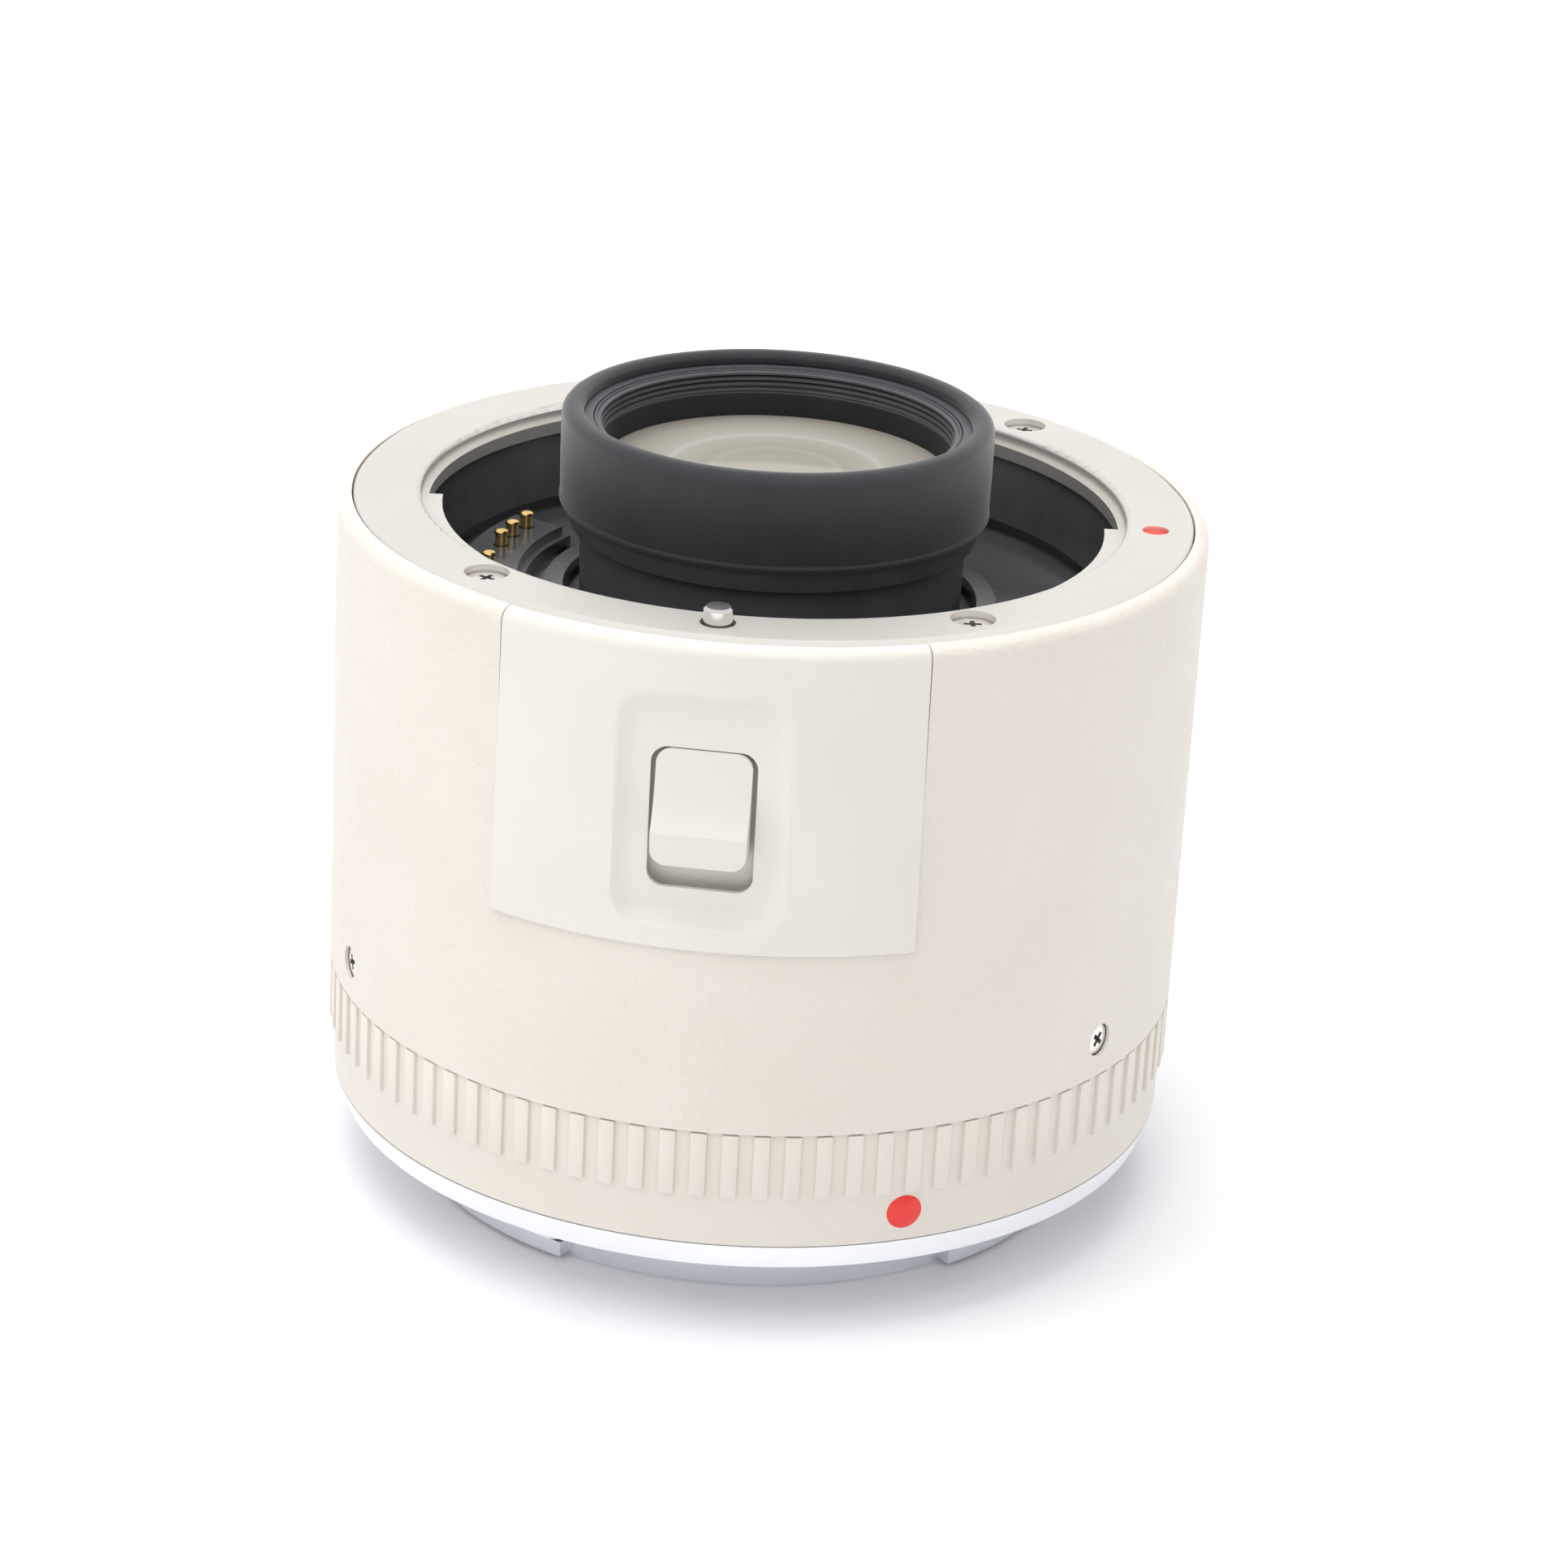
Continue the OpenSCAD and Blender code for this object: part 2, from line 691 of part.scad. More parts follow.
module barrel_screws() color("#cfcabf") for (a = barrel_screw_at) at(a)
    translate([0, -barrel_r + small_head_sink, z_barrel_screw]) rotate([90, 0, 0])
        screw(small_screw_d, barrel_screw_len, small_head_d, small_head_h);

module rear_index_dot() color("#e23b30") at(dot_at) intersection() {
    spoke(dot_d - fit_gap, dot_face_r - dot_depth, barrel_r + 1, z_dot);
    translate([0, -dot_face_r + sqrt(dot_dome_r * dot_dome_r - dot_d * dot_d / 4), z_dot])
        sphere(dot_dome_r);
}

// The front mount

module front_mount_ring() color("#d9d6d0") difference() {
    union() {
        rotate_extrude() difference() {
            polygon([[ledge_r, z_shelf], [mount_r, z_shelf], [mount_r, z_front - mount_bevel],
                [mount_r - mount_bevel, z_front], [throat_r, z_front],
                [throat_r, z_front - claw_depth], [ledge_r, z_front - claw_depth]]);
            mirror([1, 0]) corner_cut(-throat_r, z_front, throat_round);
        }
        for (a = [0, 120, 240])
            sector(throat_r, claw_r, z_shelf, z_front - claw_depth,
                claw_at + a - claw_angle / 2, claw_at + a + claw_angle / 2);
    }
    for (a = mount_screw_at) at(a) {
        post(mount_screw_r, screw_d + 2 * fit_gap, z_shelf - 1, z_front);
        post(mount_screw_r, mount_head_d + 2 * seam_gap, z_front - mount_head_sink - mount_head_h,
            z_front + 1);
    }
    post(lock_pin_r, lock_pin_d + 2 * pin_room, z_shelf - 1, z_front + 1);
    at(index_at) post(mount_screw_r, index_d, z_front - index_depth, z_front + 1);
}

module front_mount_screws() color("#c9c7c2") for (a = mount_screw_at) at(a)
    translate([0, -mount_screw_r, z_front - mount_head_sink])
        screw(screw_d, mount_h - mount_head_sink - mount_head_h + shelf_t - fit_gap,
            mount_head_d, mount_head_h);

module mount_leaf_springs() color("#b9bcc0") for (a = [0, 120, 240]) at(claw_at + a)
    translate([0, -claw_r - leaf_inset,
        z_shelf + sqrt(pow(leaf_bow_r - leaf_t, 2) - leaf_len * leaf_len / 4)])
        rotate([90, 0, 0]) linear_extrude(leaf_w) intersection() {
            difference() {
                circle(leaf_bow_r, $fn = 720);
                circle(leaf_bow_r - leaf_t, $fn = 720);
            }
            translate([-leaf_len / 2, -leaf_bow_r - 1]) square([leaf_len, leaf_bow_r]);
        }

module front_index_mark() color("#d8302a") at(index_at)
    post(mount_screw_r, index_d - fit_gap, z_front - index_depth, z_front - index_sink);

module front_light_shield() color("#2c2d2f") difference() {
    hole_r = cell_r + cell_room;
    rotate_extrude() polygon([[hole_r, z_floor_low], [shield_r, z_floor_low],
        [shield_r, z_shelf - shield_lip_t], [shield_r + shield_lip_w, z_shelf - shield_lip_t],
        [shield_r + shield_lip_w, z_shelf], [shield_r - shield_wall, z_shelf],
        [shield_r - shield_wall - shield_taper, z_well + shield_slot],
        [shield_r - shield_wall, z_well + shield_slot], [shield_r - shield_wall, z_well],
        [hole_r + collar_w, z_well],
        [hole_r + collar_w, z_well + collar_h], [hole_r, z_well + collar_h]]);
    sector(contact_r + block_w / 2 + fit_gap, contact_r - block_w / 2 - fit_gap,
        z_floor_low - 1, z_well + 1, block_from - block_room, block_to + block_room);
    sector(groove_from_r + groove_w, groove_from_r, z_well - groove_depth, z_well + 1,
        block_from, block_from + groove_angle);
}

// The contacts on the lens side

module front_contact_block() color("#3a3c40") difference() {
    union() {
        sector(contact_r + block_w / 2, contact_r - block_w / 2, z_block_low, z_block,
            block_from, block_to);
        sector(contact_r + block_w / 2 + block_lip_w, contact_r - block_w / 2 - block_lip_w,
            z_well, z_well + block_lip_h, block_from - block_lip_angle, block_to + block_lip_angle);
    }
    for (i = [0 : contact_count - 1]) at(contact_at(i)) {
        post(contact_r, contact_d + 2 * run_gap, z_block_low - 1, z_block + 1);
        post(contact_r, contact_flange_d + 2 * run_gap, z_block_low - 1, z_contact_stop);
    }
}

module contact_pin(i) color("#d9b04c") at(contact_at(i)) translate([0, -contact_r, 0])
    rotate_extrude() {
        translate([0, z_contact_stop - contact_flange_h - contact_stem_len])
            square([contact_stem_d / 2, contact_stem_len]);
        translate([0, z_contact_stop - contact_flange_h])
            square([contact_flange_d / 2, contact_flange_h]);
        translate([0, z_contact_stop]) square([contact_d / 2, z_tip - contact_d / 2 - z_contact_stop]);
        intersection() {
            translate([0, z_tip - contact_d / 2]) circle(contact_d / 2);
            translate([0, z_tip - contact_d / 2]) square(contact_d);
        }
    }

module contact_springs() color("#a9acb0") for (i = [0 : contact_count - 1]) at(contact_at(i))
    translate([0, -contact_r, 0])
        ring(spring_od / 2, spring_id / 2, z_block_low, z_contact_stop - contact_flange_h);

module front_contact_flex() color("#9a6a2c") {
    sector(contact_r + block_w / 2, contact_r - block_w / 2, z_block_low - flex_t, z_block_low,
        block_from, block_to);
    sector(tail_r, contact_r, z_block_low - flex_t, z_block_low,
        block_mid - tail_angle / 2, block_mid + tail_angle / 2);
    sector(tail_r, tail_r - tail_t, z_board + board_t, z_block_low,
        block_mid - tail_angle / 2, block_mid + tail_angle / 2);
    sector(tail_r, tail_r - tail_foot, z_board + board_t, z_board + board_t + tail_t,
        block_mid - tail_angle / 2, block_mid + tail_angle / 2);
}

// The optics

module front_cell() color("#1d1e20") rotate_extrude() polygon([
    [stop_r, z_cell], [cell_r, z_cell], [cell_r, z_hood], [hood_inner_r - fit_gap, z_hood],
    [hood_inner_r - fit_gap, z_cell_top], [front_lens_r + fit_gap, z_cell_top],
    [front_lens_r + fit_gap, z_front_seat], [front_lens_r - front_glass_rim, z_front_seat],
    [front_lens_r - front_glass_rim, z_cell + cell_foot_w], [stop_r, z_cell + cell_foot_w]]);

module rubber_hood() color("#26282b") rotate_extrude() difference() {
    polygon([[hood_inner_r, z_hood], [hood_r, z_hood], [hood_r, z_hood_top],
        [hood_inner_r - hood_lip_w, z_hood_top], [hood_inner_r - hood_lip_w, z_hood_top - hood_lip_h],
        [hood_inner_r, z_hood_top - hood_lip_h]]);
    corner_cut(hood_r, z_hood_top, hood_round);
    mirror([1, 0]) corner_cut(-hood_inner_r + hood_lip_w, z_hood_top, hood_round);
}

module front_baffle_ring() color("#202123") {
    step_h = (z_cell_top - z_front_glass) / baffle_steps;
    for (k = [0 : baffle_steps - 1])
        ring(front_lens_r, front_clear_r + k * baffle_step, z_front_glass + k * step_h,
            z_front_glass + (k + 1) * step_h);
}

module lens_tube() color("#303236") difference() {
    rotate_extrude() polygon([[rear_lens_r + fit_gap, z_tube], [tube_r, z_tube],
        [tube_r, z_tube_flange], [bore_r - tube_flange_room, z_tube_flange],
        [bore_r - tube_flange_room, z_board], [tube_r, z_board], [tube_r, z_floor_low],
        [cell_r + fit_gap, z_floor_low], [cell_r + fit_gap, z_cell],
        [inner_lens_r + fit_gap, z_cell], [inner_lens_r + fit_gap, z_seat],
        [stop_r, z_seat], [stop_r, z_stop], [rear_lens_r + fit_gap, z_stop]]);
    for (a = tube_screw_at) at(a)
        post(tube_screw_r, small_screw_d + 2 * fit_gap, z_tube_flange - 1, z_board + 1);
    sector(rear_tail_r + tail_t + seam_gap, rear_tail_r - seam_gap, z_tube_flange - 1, z_board + 1,
        block_mid - flex_angle / 2 - 1, block_mid + flex_angle / 2 + 1);
}

module lens_tube_screws() color("#8c8f94") for (a = tube_screw_at) at(a)
    translate([0, -tube_screw_r, z_board + small_head_h])
        screw(small_screw_d, tube_screw_len, small_head_d, small_head_h);

module front_doublet() color("#9aa0a0") {
    join = z_front_glass - front_rim_h;
    glass(front_lens_r, front_clear_r, join, front_join, z_front_glass, front_face);
    glass(front_lens_r, front_clear_r, z_front_seat, -front_hollow, join, -front_join);
}

module middle_triplet() color("#9fb0ac") {
    clear = inner_lens_r - glass_rim;
    upper = z_cell - triplet_outer_h;
    lower = upper - triplet_mid_h;
    glass(inner_lens_r, clear, upper, -triplet_join, z_cell, -triplet_front);
    glass(inner_lens_r, clear, lower, triplet_join, upper, triplet_join);
    glass(inner_lens_r, clear, z_triplet, -triplet_back, lower, -triplet_join);
}

module lens_spacer() color("#26282b")
    ring(inner_lens_r, inner_lens_r - glass_rim, z_relay_top, z_triplet);

module relay_doublet() color("#a7b3ac") {
    clear = inner_lens_r - glass_rim;
    join = z_seat + relay_low_h;
    glass(inner_lens_r, clear, z_seat, -relay_back, join, -relay_join);
    glass(inner_lens_r, clear, join, relay_join, z_relay_top, relay_front);
}

module field_lens() color("#a3afb2")
    glass(rear_lens_r, rear_lens_r - glass_rim, z_field, field_back, z_stop, -field_front);

module rear_spacer() color("#26282b")
    ring(rear_lens_r, rear_lens_r - glass_rim, z_rear_glass_top, z_field);

module rear_lens() color("#a3afb2")
    glass(rear_lens_r, rear_lens_r - glass_rim, z_rear_glass, rear_back,
        z_rear_glass_top, -rear_front);

module rear_retaining_ring() color("#26282b")
    ring(rear_lens_r, rear_lens_r - glass_rim, z_rear_glass - rear_ring_h, z_rear_glass);

// The electronics

module circuit_board() color("#2f6b3c")
    sector(board_out_r, board_in_r, z_board, z_board + board_t, board_from, board_to);

module board_chips() color("#202224") for (a = chip_at) at(a)
    translate([-chip_w / 2, -(board_in_r + board_out_r + chip_w) / 2, z_board + board_t])
        cube([chip_w, chip_w, chip_h]);

module rear_flex() color("#9a6a2c")
    sector(rear_tail_r + tail_t, rear_tail_r, z_rear_block_top, z_board,
        block_mid - flex_angle / 2, block_mid + flex_angle / 2);

// The rear mount

module rear_mount() color("#d5d8de") difference() {
    union() {
        rotate_extrude() polygon([[neck_bore_r, 0], [neck_r - neck_bevel, 0],
            [neck_r, neck_bevel], [neck_r, z_rear - spigot_h], [spigot_r, z_rear - spigot_h],
            [spigot_r, z_rear], [flange_low_r, z_rear], [band_low_r, z_grip], [neck_bore_r, z_grip]]);
        for (a = [0, 120, 240])
            sector(tab_r, neck_r - neck_wall / 2, tab_lift, tab_lift + tab_h,
                tab_at + a - tab_angle / 2, tab_at + a + tab_angle / 2);
    }
    for (a = rear_screw_at) at(a) {
        post(rear_screw_r, screw_d + 2 * fit_gap, z_rear, z_grip + 1);
        post(rear_screw_r, rear_head_d + 2 * fit_gap, z_rear - 1,
            z_rear + rear_head_sink + rear_head_h);
    }
    at(dot_at - rear_lock_back)
        post(lock_pin_r, lock_pin_d + 4 * slide_gap, z_rear - 1, z_rear + rear_lock_depth);
    at(stop_pin_at) spoke(stop_pin_d, neck_bore_r - 1, neck_r + 1, z_stop_pin);
}

module rear_mount_screws() color("#c3c6cc") for (a = rear_screw_at) at(a)
    translate([0, -rear_screw_r, z_rear + rear_head_sink]) mirror([0, 0, 1])
        screw(screw_d, rear_screw_len, rear_head_d, rear_head_h);

module mount_stop_pin() color("#d8d4cc") at(stop_pin_at)
    spoke(stop_pin_d - fit_gap, neck_bore_r + fit_gap, tab_r, z_stop_pin);

module rear_light_shield() color("#1c1d1f") difference() {
    union() {
        rotate_extrude() polygon([[rear_block_r, rear_shield_lift], [rear_block_r, z_grip],
            [web_hole_r - seam_gap, z_grip], [web_hole_r - seam_gap, z_grip + rear_shield_lip_t],
            [rear_shield_hole_r, z_grip + rear_shield_lip_t],
            [rear_shield_hole_r, z_grip + rear_shield_lip_t - rear_shield_plate],
            [rear_block_r - rear_block_w, z_grip - rear_shield_plate],
            [rear_block_r - rear_shield_wall, rear_shield_lift]]);
        sector(rear_block_r - rear_shield_wall / 2, rear_block_r - rear_block_w + seam_gap,
            z_rear_block_top - rear_shield_plate / 2, z_grip - rear_shield_plate / 2,
            rear_block_from, rear_block_to);
    }
    sector(rear_block_r + 1, rear_block_r - rear_block_w - fit_gap, 0, z_rear_block_top,
        rear_block_from - block_room, rear_block_to + block_room);
    sector(rear_tail_r + tail_t + seam_gap, rear_tail_r - seam_gap, z_rear_block_top - 1, z_grip + 1,
        block_mid - flex_angle / 2 - 1, block_mid + flex_angle / 2 + 1);
    for (a = rear_fix_at) at(a)
        post(pad_r, fix_screw_d + 2 * fit_gap, z_rear_block_top - 1,
            rear_block_lift + fix_sink + fix_head_h + fix_screw_len + fit_gap);
}

module rear_contact_block() color("#26272a") difference() {
    sector(rear_block_r, rear_block_r - rear_block_w, rear_block_lift, z_rear_block_top,
        rear_block_from, rear_block_to);
    for (i = [0 : contact_count - 1]) at(contact_at(i))
        post(pad_r, pad_d + fit_gap, rear_block_lift - 1, rear_block_lift - pad_stand + pad_t);
    for (a = rear_fix_at) at(a) {
        post(pad_r, fix_screw_d + 2 * fit_gap, rear_block_lift, z_rear_block_top + 1);
        post(pad_r, fix_head_d + 2 * fit_gap, rear_block_lift - 1,
            rear_block_lift + fix_sink + fix_head_h);
    }
}

module rear_contact_pads() color("#d9b04c") for (i = [0 : contact_count - 1]) at(contact_at(i))
    post(pad_r, pad_d, rear_block_lift - pad_stand, rear_block_lift - pad_stand + pad_t);

module rear_contact_screws() color("#8c8f94") for (a = rear_fix_at) at(a)
    translate([0, -pad_r, rear_block_lift + fix_sink]) mirror([0, 0, 1])
        screw(fix_screw_d, fix_screw_len, fix_head_d, fix_head_h);

// The release switch

module release_knob() color("#f3f1ea") {
    crest_u = barrel_r + knob_proud;
    z_crest = z_knob + knob_crest_h;
    translate([-skirt_w / 2, plate_y - skirt_t, z_skirt]) cube([skirt_w, skirt_t, z_knob_top - z_skirt]);
    intersection() {
        translate([knob_w / 2, 0, 0]) rotate([0, -90, 0]) linear_extrude(knob_w) difference() {
            polygon([[z_knob, plate_y], [z_knob, knob_nose_in - crest_u],
                [z_crest - knob_head_t / 2, -crest_u], [z_crest + knob_head_t / 2, -crest_u],
                [z_knob_top, -crest_u], [z_knob_top, plate_y]]);
            translate([z_knob_top - knob_hollow_drop, -crest_u - knob_hollow_r + knob_hollow_depth])
                circle(knob_hollow_r, $fn = 180);
        }
        translate([0, 0, (z_knob + z_knob_top) / 2]) rotate([90, 0, 0])
            linear_extrude(crest_u + 1) round_rect(knob_w, knob_h, knob_round);
    }
}

module slider_plate() color("#8f9297") difference() {
    union() {
        translate([-plate_w / 2, plate_y, z_plate]) cube([plate_w, plate_t, z_plate_top - z_plate]);
        translate([-pin_block_w / 2, -lock_pin_r - pin_block_t / 2, z_plate_top - pin_block_h])
            cube([pin_block_w, pin_block_t, pin_block_h]);
        translate([-spring_foot_w / 2, plate_y, z_plate])
            cube([spring_foot_w, lock_spring_y + spring_foot_w / 2 - plate_y, spring_foot_t]);
    }
    post(lock_pin_r, pin_shank_d + fit_gap, z_plate_top - pin_shank_len - fit_gap, z_plate_top + 1);
}

module lock_pin() color("#d6d8da") translate([0, -lock_pin_r, 0]) rotate_extrude() polygon([
    [0, z_plate_top - pin_shank_len], [pin_shank_d / 2, z_plate_top - pin_shank_len],
    [pin_shank_d / 2, z_plate_top], [lock_pin_d / 2, z_plate_top],
    [lock_pin_d / 2, z_front + lock_pin_stand - pin_bevel],
    [lock_pin_d / 2 - pin_bevel, z_front + lock_pin_stand], [0, z_front + lock_pin_stand]]);

module slider_guide() color("#777a80") difference() {
    z_low = z_spring_seat - guide_ledge_t;
    z_rail = z_barrel_window + 2 * slide_gap;
    rail_h = z_barrel_window_top - 2 * slide_gap - z_rail;
    lip_w = guide_rail_w + slide_gap + plate_t;
    union() {
        for (s = [0, 1]) mirror([s, 0, 0]) {
            translate([guide_slot_w / 2, guide_back_y, z_low])
                cube([guide_half_w - guide_slot_w / 2, guide_t, z_plate_top - z_low]);
            translate([guide_rail_x, plate_y - slide_gap - plate_t / 2, z_rail])
                cube([guide_rail_w, guide_back_y - plate_y + slide_gap + plate_t, rail_h]);
            translate([guide_half_w - lip_w, plate_y - slide_gap - plate_t / 2, z_rail])
                cube([lip_w, plate_t / 2, rail_h]);
            translate([guide_half_w - guide_rail_w, guide_back_y, z_guide_screw - guide_ear_h / 2])
                cube([guide_rail_w + guide_ear_w, guide_t, guide_ear_h]);
        }
        translate([-guide_half_w, guide_back_y, z_low])
            cube([2 * guide_half_w, guide_ledge_w, guide_ledge_t]);
        translate([-guide_slot_w / 2, lock_spring_y - spring_foot_w / 2, z_low])
            cube([guide_slot_w, spring_foot_w, guide_ledge_t]);
        translate([0, lock_spring_y, z_low])
            cylinder(d = lock_post_d, h = guide_ledge_t + lock_post_h);
    }
    for (s = [-1, 1]) translate([s * guide_screw_x, 0, 0])
        spoke(small_screw_d + 2 * fit_gap, -guide_back_y - barrel_wall, -guide_back_y + 1, z_guide_screw);
}

module slider_guide_screws() color("#8c8f94") for (s = [-1, 1])
    translate([s * guide_screw_x, guide_back_y + guide_t + small_head_h, z_guide_screw])
        rotate([-90, 0, 0])
            screw(small_screw_d, guide_t + guide_screw_len, small_head_d, small_head_h);

// One unbroken wire wound round the guide's post, with six sides and eight rings a turn
lock_sides = 6;
lock_rings = 8 * lock_turns;
lock_low = z_spring_seat + lock_wire_d / 2 + lock_seat_gap;
lock_high = z_plate - lock_wire_d / 2 - lock_seat_gap;
function lock_axis(k) = [
    lock_spring_r * cos(360 * k / 8),
    lock_spring_y + lock_spring_r * sin(360 * k / 8),
    lock_low + (lock_high - lock_low) * k / lock_rings];
function lock_point(k, j) = lock_axis(k) + lock_wire_d / 2 * [
    cos(360 * j / lock_sides) * cos(360 * k / 8),
    cos(360 * j / lock_sides) * sin(360 * k / 8),
    sin(360 * j / lock_sides)];
lock_gap = min([for (k = [0 : lock_rings - 8]) norm(lock_axis(k + 8) - lock_axis(k))]) - lock_wire_d;
echo(str("Gap between the lock spring's turns: ", lock_gap, " mm"));

module lock_spring() color("#b5b8bc") polyhedron(
    points = [for (k = [0 : lock_rings], j = [0 : lock_sides - 1]) lock_point(k, j)],
    faces = concat(
        [for (j = [1 : lock_sides - 2]) [0, j, j + 1]],
        [for (k = [0 : lock_rings - 1], j = [0 : lock_sides - 1], h = [0, 1])
            let (a = k * lock_sides + j, b = k * lock_sides + (j + 1) % lock_sides)
            h == 0 ? [a, a + lock_sides, b] : [b, a + lock_sides, b + lock_sides]],
        [for (j = [1 : lock_sides - 2])
            let (e = lock_rings * lock_sides) [e, e + j + 1, e + j]]));

main_barrel();
switch_panel();
panel_screws();
rear_grip_ring();
barrel_screws();
front_mount_ring();
front_mount_screws();
mount_leaf_springs();
front_index_mark();
front_light_shield();
front_contact_block();
front_contact_flex();
contact_springs();
front_cell();
rubber_hood();
front_baffle_ring();
lens_tube();
lens_tube_screws();
front_doublet();
middle_triplet();
lens_spacer();
relay_doublet();
field_lens();
rear_spacer();
rear_lens();
rear_retaining_ring();
circuit_board();
board_chips();
rear_flex();
rear_mount();
rear_mount_screws();
mount_stop_pin();
rear_light_shield();
rear_contact_block();
rear_contact_pads();
rear_contact_screws();
rear_index_dot();
slider_guide();
slider_guide_screws();
release_knob();
slider_plate();
lock_pin();
lock_spring();
for (i = [0 : contact_count - 1])
    contact_pin(i);
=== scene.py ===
# %% [markdown]
# # A camera teleconverter
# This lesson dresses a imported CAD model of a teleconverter: a short white barrel that goes between
# a camera and a long lens. The CAD model brings every piece in its true place and size, in metres,
# standing on its camera end with the optical axis along +Z and the release switch facing -Y.
# What is left for Blender is the look: finishes, soft edges and small detail.

import json
import math

import bpy
from mathutils import Matrix, Vector


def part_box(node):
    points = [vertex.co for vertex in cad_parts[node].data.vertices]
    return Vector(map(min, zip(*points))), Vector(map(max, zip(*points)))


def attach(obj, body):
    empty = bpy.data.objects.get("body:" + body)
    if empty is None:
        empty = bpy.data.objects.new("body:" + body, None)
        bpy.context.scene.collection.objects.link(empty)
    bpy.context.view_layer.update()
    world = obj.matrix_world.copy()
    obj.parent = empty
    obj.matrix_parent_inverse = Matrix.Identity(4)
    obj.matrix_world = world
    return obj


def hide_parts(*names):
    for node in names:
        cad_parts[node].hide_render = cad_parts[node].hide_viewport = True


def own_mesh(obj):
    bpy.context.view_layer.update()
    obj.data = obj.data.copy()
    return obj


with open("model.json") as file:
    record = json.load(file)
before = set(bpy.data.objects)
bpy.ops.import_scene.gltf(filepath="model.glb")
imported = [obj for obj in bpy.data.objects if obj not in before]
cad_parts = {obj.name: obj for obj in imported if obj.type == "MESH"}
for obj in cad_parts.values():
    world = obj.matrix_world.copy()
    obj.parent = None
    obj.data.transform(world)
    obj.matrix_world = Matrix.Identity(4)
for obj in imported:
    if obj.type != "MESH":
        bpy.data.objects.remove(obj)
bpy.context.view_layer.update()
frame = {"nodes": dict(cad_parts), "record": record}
nodes = frame["nodes"]
MM = 0.001

# %% [markdown]
# ## Finishes
# A finish is one Principled shader with a texture or two in front of it. Every texture reads Object
# coordinates, so its size is in metres and stays put when a piece moves. A few small helpers do the
# repeated wiring: a noise at a given grain size, a colour that wanders between two near tones, and a
# bump that stands a few hundredths of a millimetre high.


# %% Helpers for finishes
def new_finish(name, colour, roughness, metallic=0.0):
    """A material with one Principled shader, and that shader."""
    material = bpy.data.materials.new(name)
    material.use_nodes = True
    shader = material.node_tree.nodes["Principled BSDF"]
    shader.inputs["Base Color"].default_value = (*colour, 1)
    shader.inputs["Roughness"].default_value = roughness
    shader.inputs["Metallic"].default_value = metallic
    return material, shader


def grain(material, size, detail=2.0):
    """A noise whose lumps are about size metres wide."""
    tree = material.node_tree
    place = tree.nodes.new("ShaderNodeTexCoord")
    noise = tree.nodes.new("ShaderNodeTexNoise")
    noise.inputs["Scale"].default_value = 1 / size
    noise.inputs["Detail"].default_value = detail
    tree.links.new(place.outputs["Object"], noise.inputs["Vector"])
    return noise.outputs["Fac"]


def between(material, factor, low, high, socket):
    """Drives a socket with a number that follows factor from low to high."""
    tree = material.node_tree
    span = tree.nodes.new("ShaderNodeMapRange")
    span.inputs["From Min"].default_value = 0.3
    span.inputs["From Max"].default_value = 0.7
    span.inputs["To Min"].default_value = low
    span.inputs["To Max"].default_value = high
    tree.links.new(factor, span.inputs["Value"])
    tree.links.new(span.outputs["Result"], socket)


def two_tone(material, factor, dark, light, socket):
    """Drives a colour socket with a colour that wanders between two tones."""
    tree = material.node_tree
    ramp = tree.nodes.new("ShaderNodeValToRGB")
    ramp.color_ramp.elements[0].position = 0.3
    ramp.color_ramp.elements[0].color = (*dark, 1)
    ramp.color_ramp.elements[1].position = 0.7
    ramp.color_ramp.elements[1].color = (*light, 1)
    tree.links.new(factor, ramp.inputs["Fac"])
    tree.links.new(ramp.outputs["Color"], socket)


def relief(material, shader, factor, height):
    """Raises the surface by height metres where factor is 1."""
    tree = material.node_tree
    bump = tree.nodes.new("ShaderNodeBump")
    bump.inputs["Distance"].default_value = height
    tree.links.new(factor, bump.inputs["Height"])
    tree.links.new(bump.outputs["Normal"], shader.inputs["Normal"])


# %% [markdown]
# ### Paint and plastic
# The barrel wears a tough crinkle paint: a warm white whose skin has shrunk into grains about 0.6 mm
# wide. The grip ring has the same paint but smoother, and the switch panel and its knob are moulded
# plastic with a very fine matt skin and a slightly cooler white. The pocket behind the panel and the
# inside of the barrel get a near-black colour, painted shade that draws the dark seam at the panel's upper
# corner: a second colour takes over where the distance from the axis falls below the outer skin.


# %% Warm white finishes
def warm_white(name, dark, light, roughness, grain_size, grain_height):
    """Pale paint or plastic with a wandering tone and a fine skin."""
    material, shader = new_finish(name, light, roughness)
    two_tone(material, grain(material, 9 * MM, 3), dark, light, shader.inputs["Base Color"])
    skin = grain(material, grain_size, 3)
    between(material, skin, roughness + 0.06, roughness - 0.06, shader.inputs["Roughness"])
    relief(material, shader, skin, grain_height)
    return material


def axis_distance(material, reach):
    """The distance from the optical axis as a share of reach."""
    tree = material.node_tree
    place = tree.nodes.new("ShaderNodeTexCoord")
    flat = tree.nodes.new("ShaderNodeMapping")
    flat.inputs["Scale"].default_value = (1, 1, 0)
    radius = tree.nodes.new("ShaderNodeVectorMath")
    radius.operation = "LENGTH"
    span = tree.nodes.new("ShaderNodeMapRange")
    span.inputs["From Max"].default_value = reach
    tree.links.new(place.outputs["Object"], flat.inputs["Vector"])
    tree.links.new(flat.outputs["Vector"], radius.inputs[0])
    tree.links.new(radius.outputs["Value"], span.inputs["Value"])
    return span.outputs["Result"]


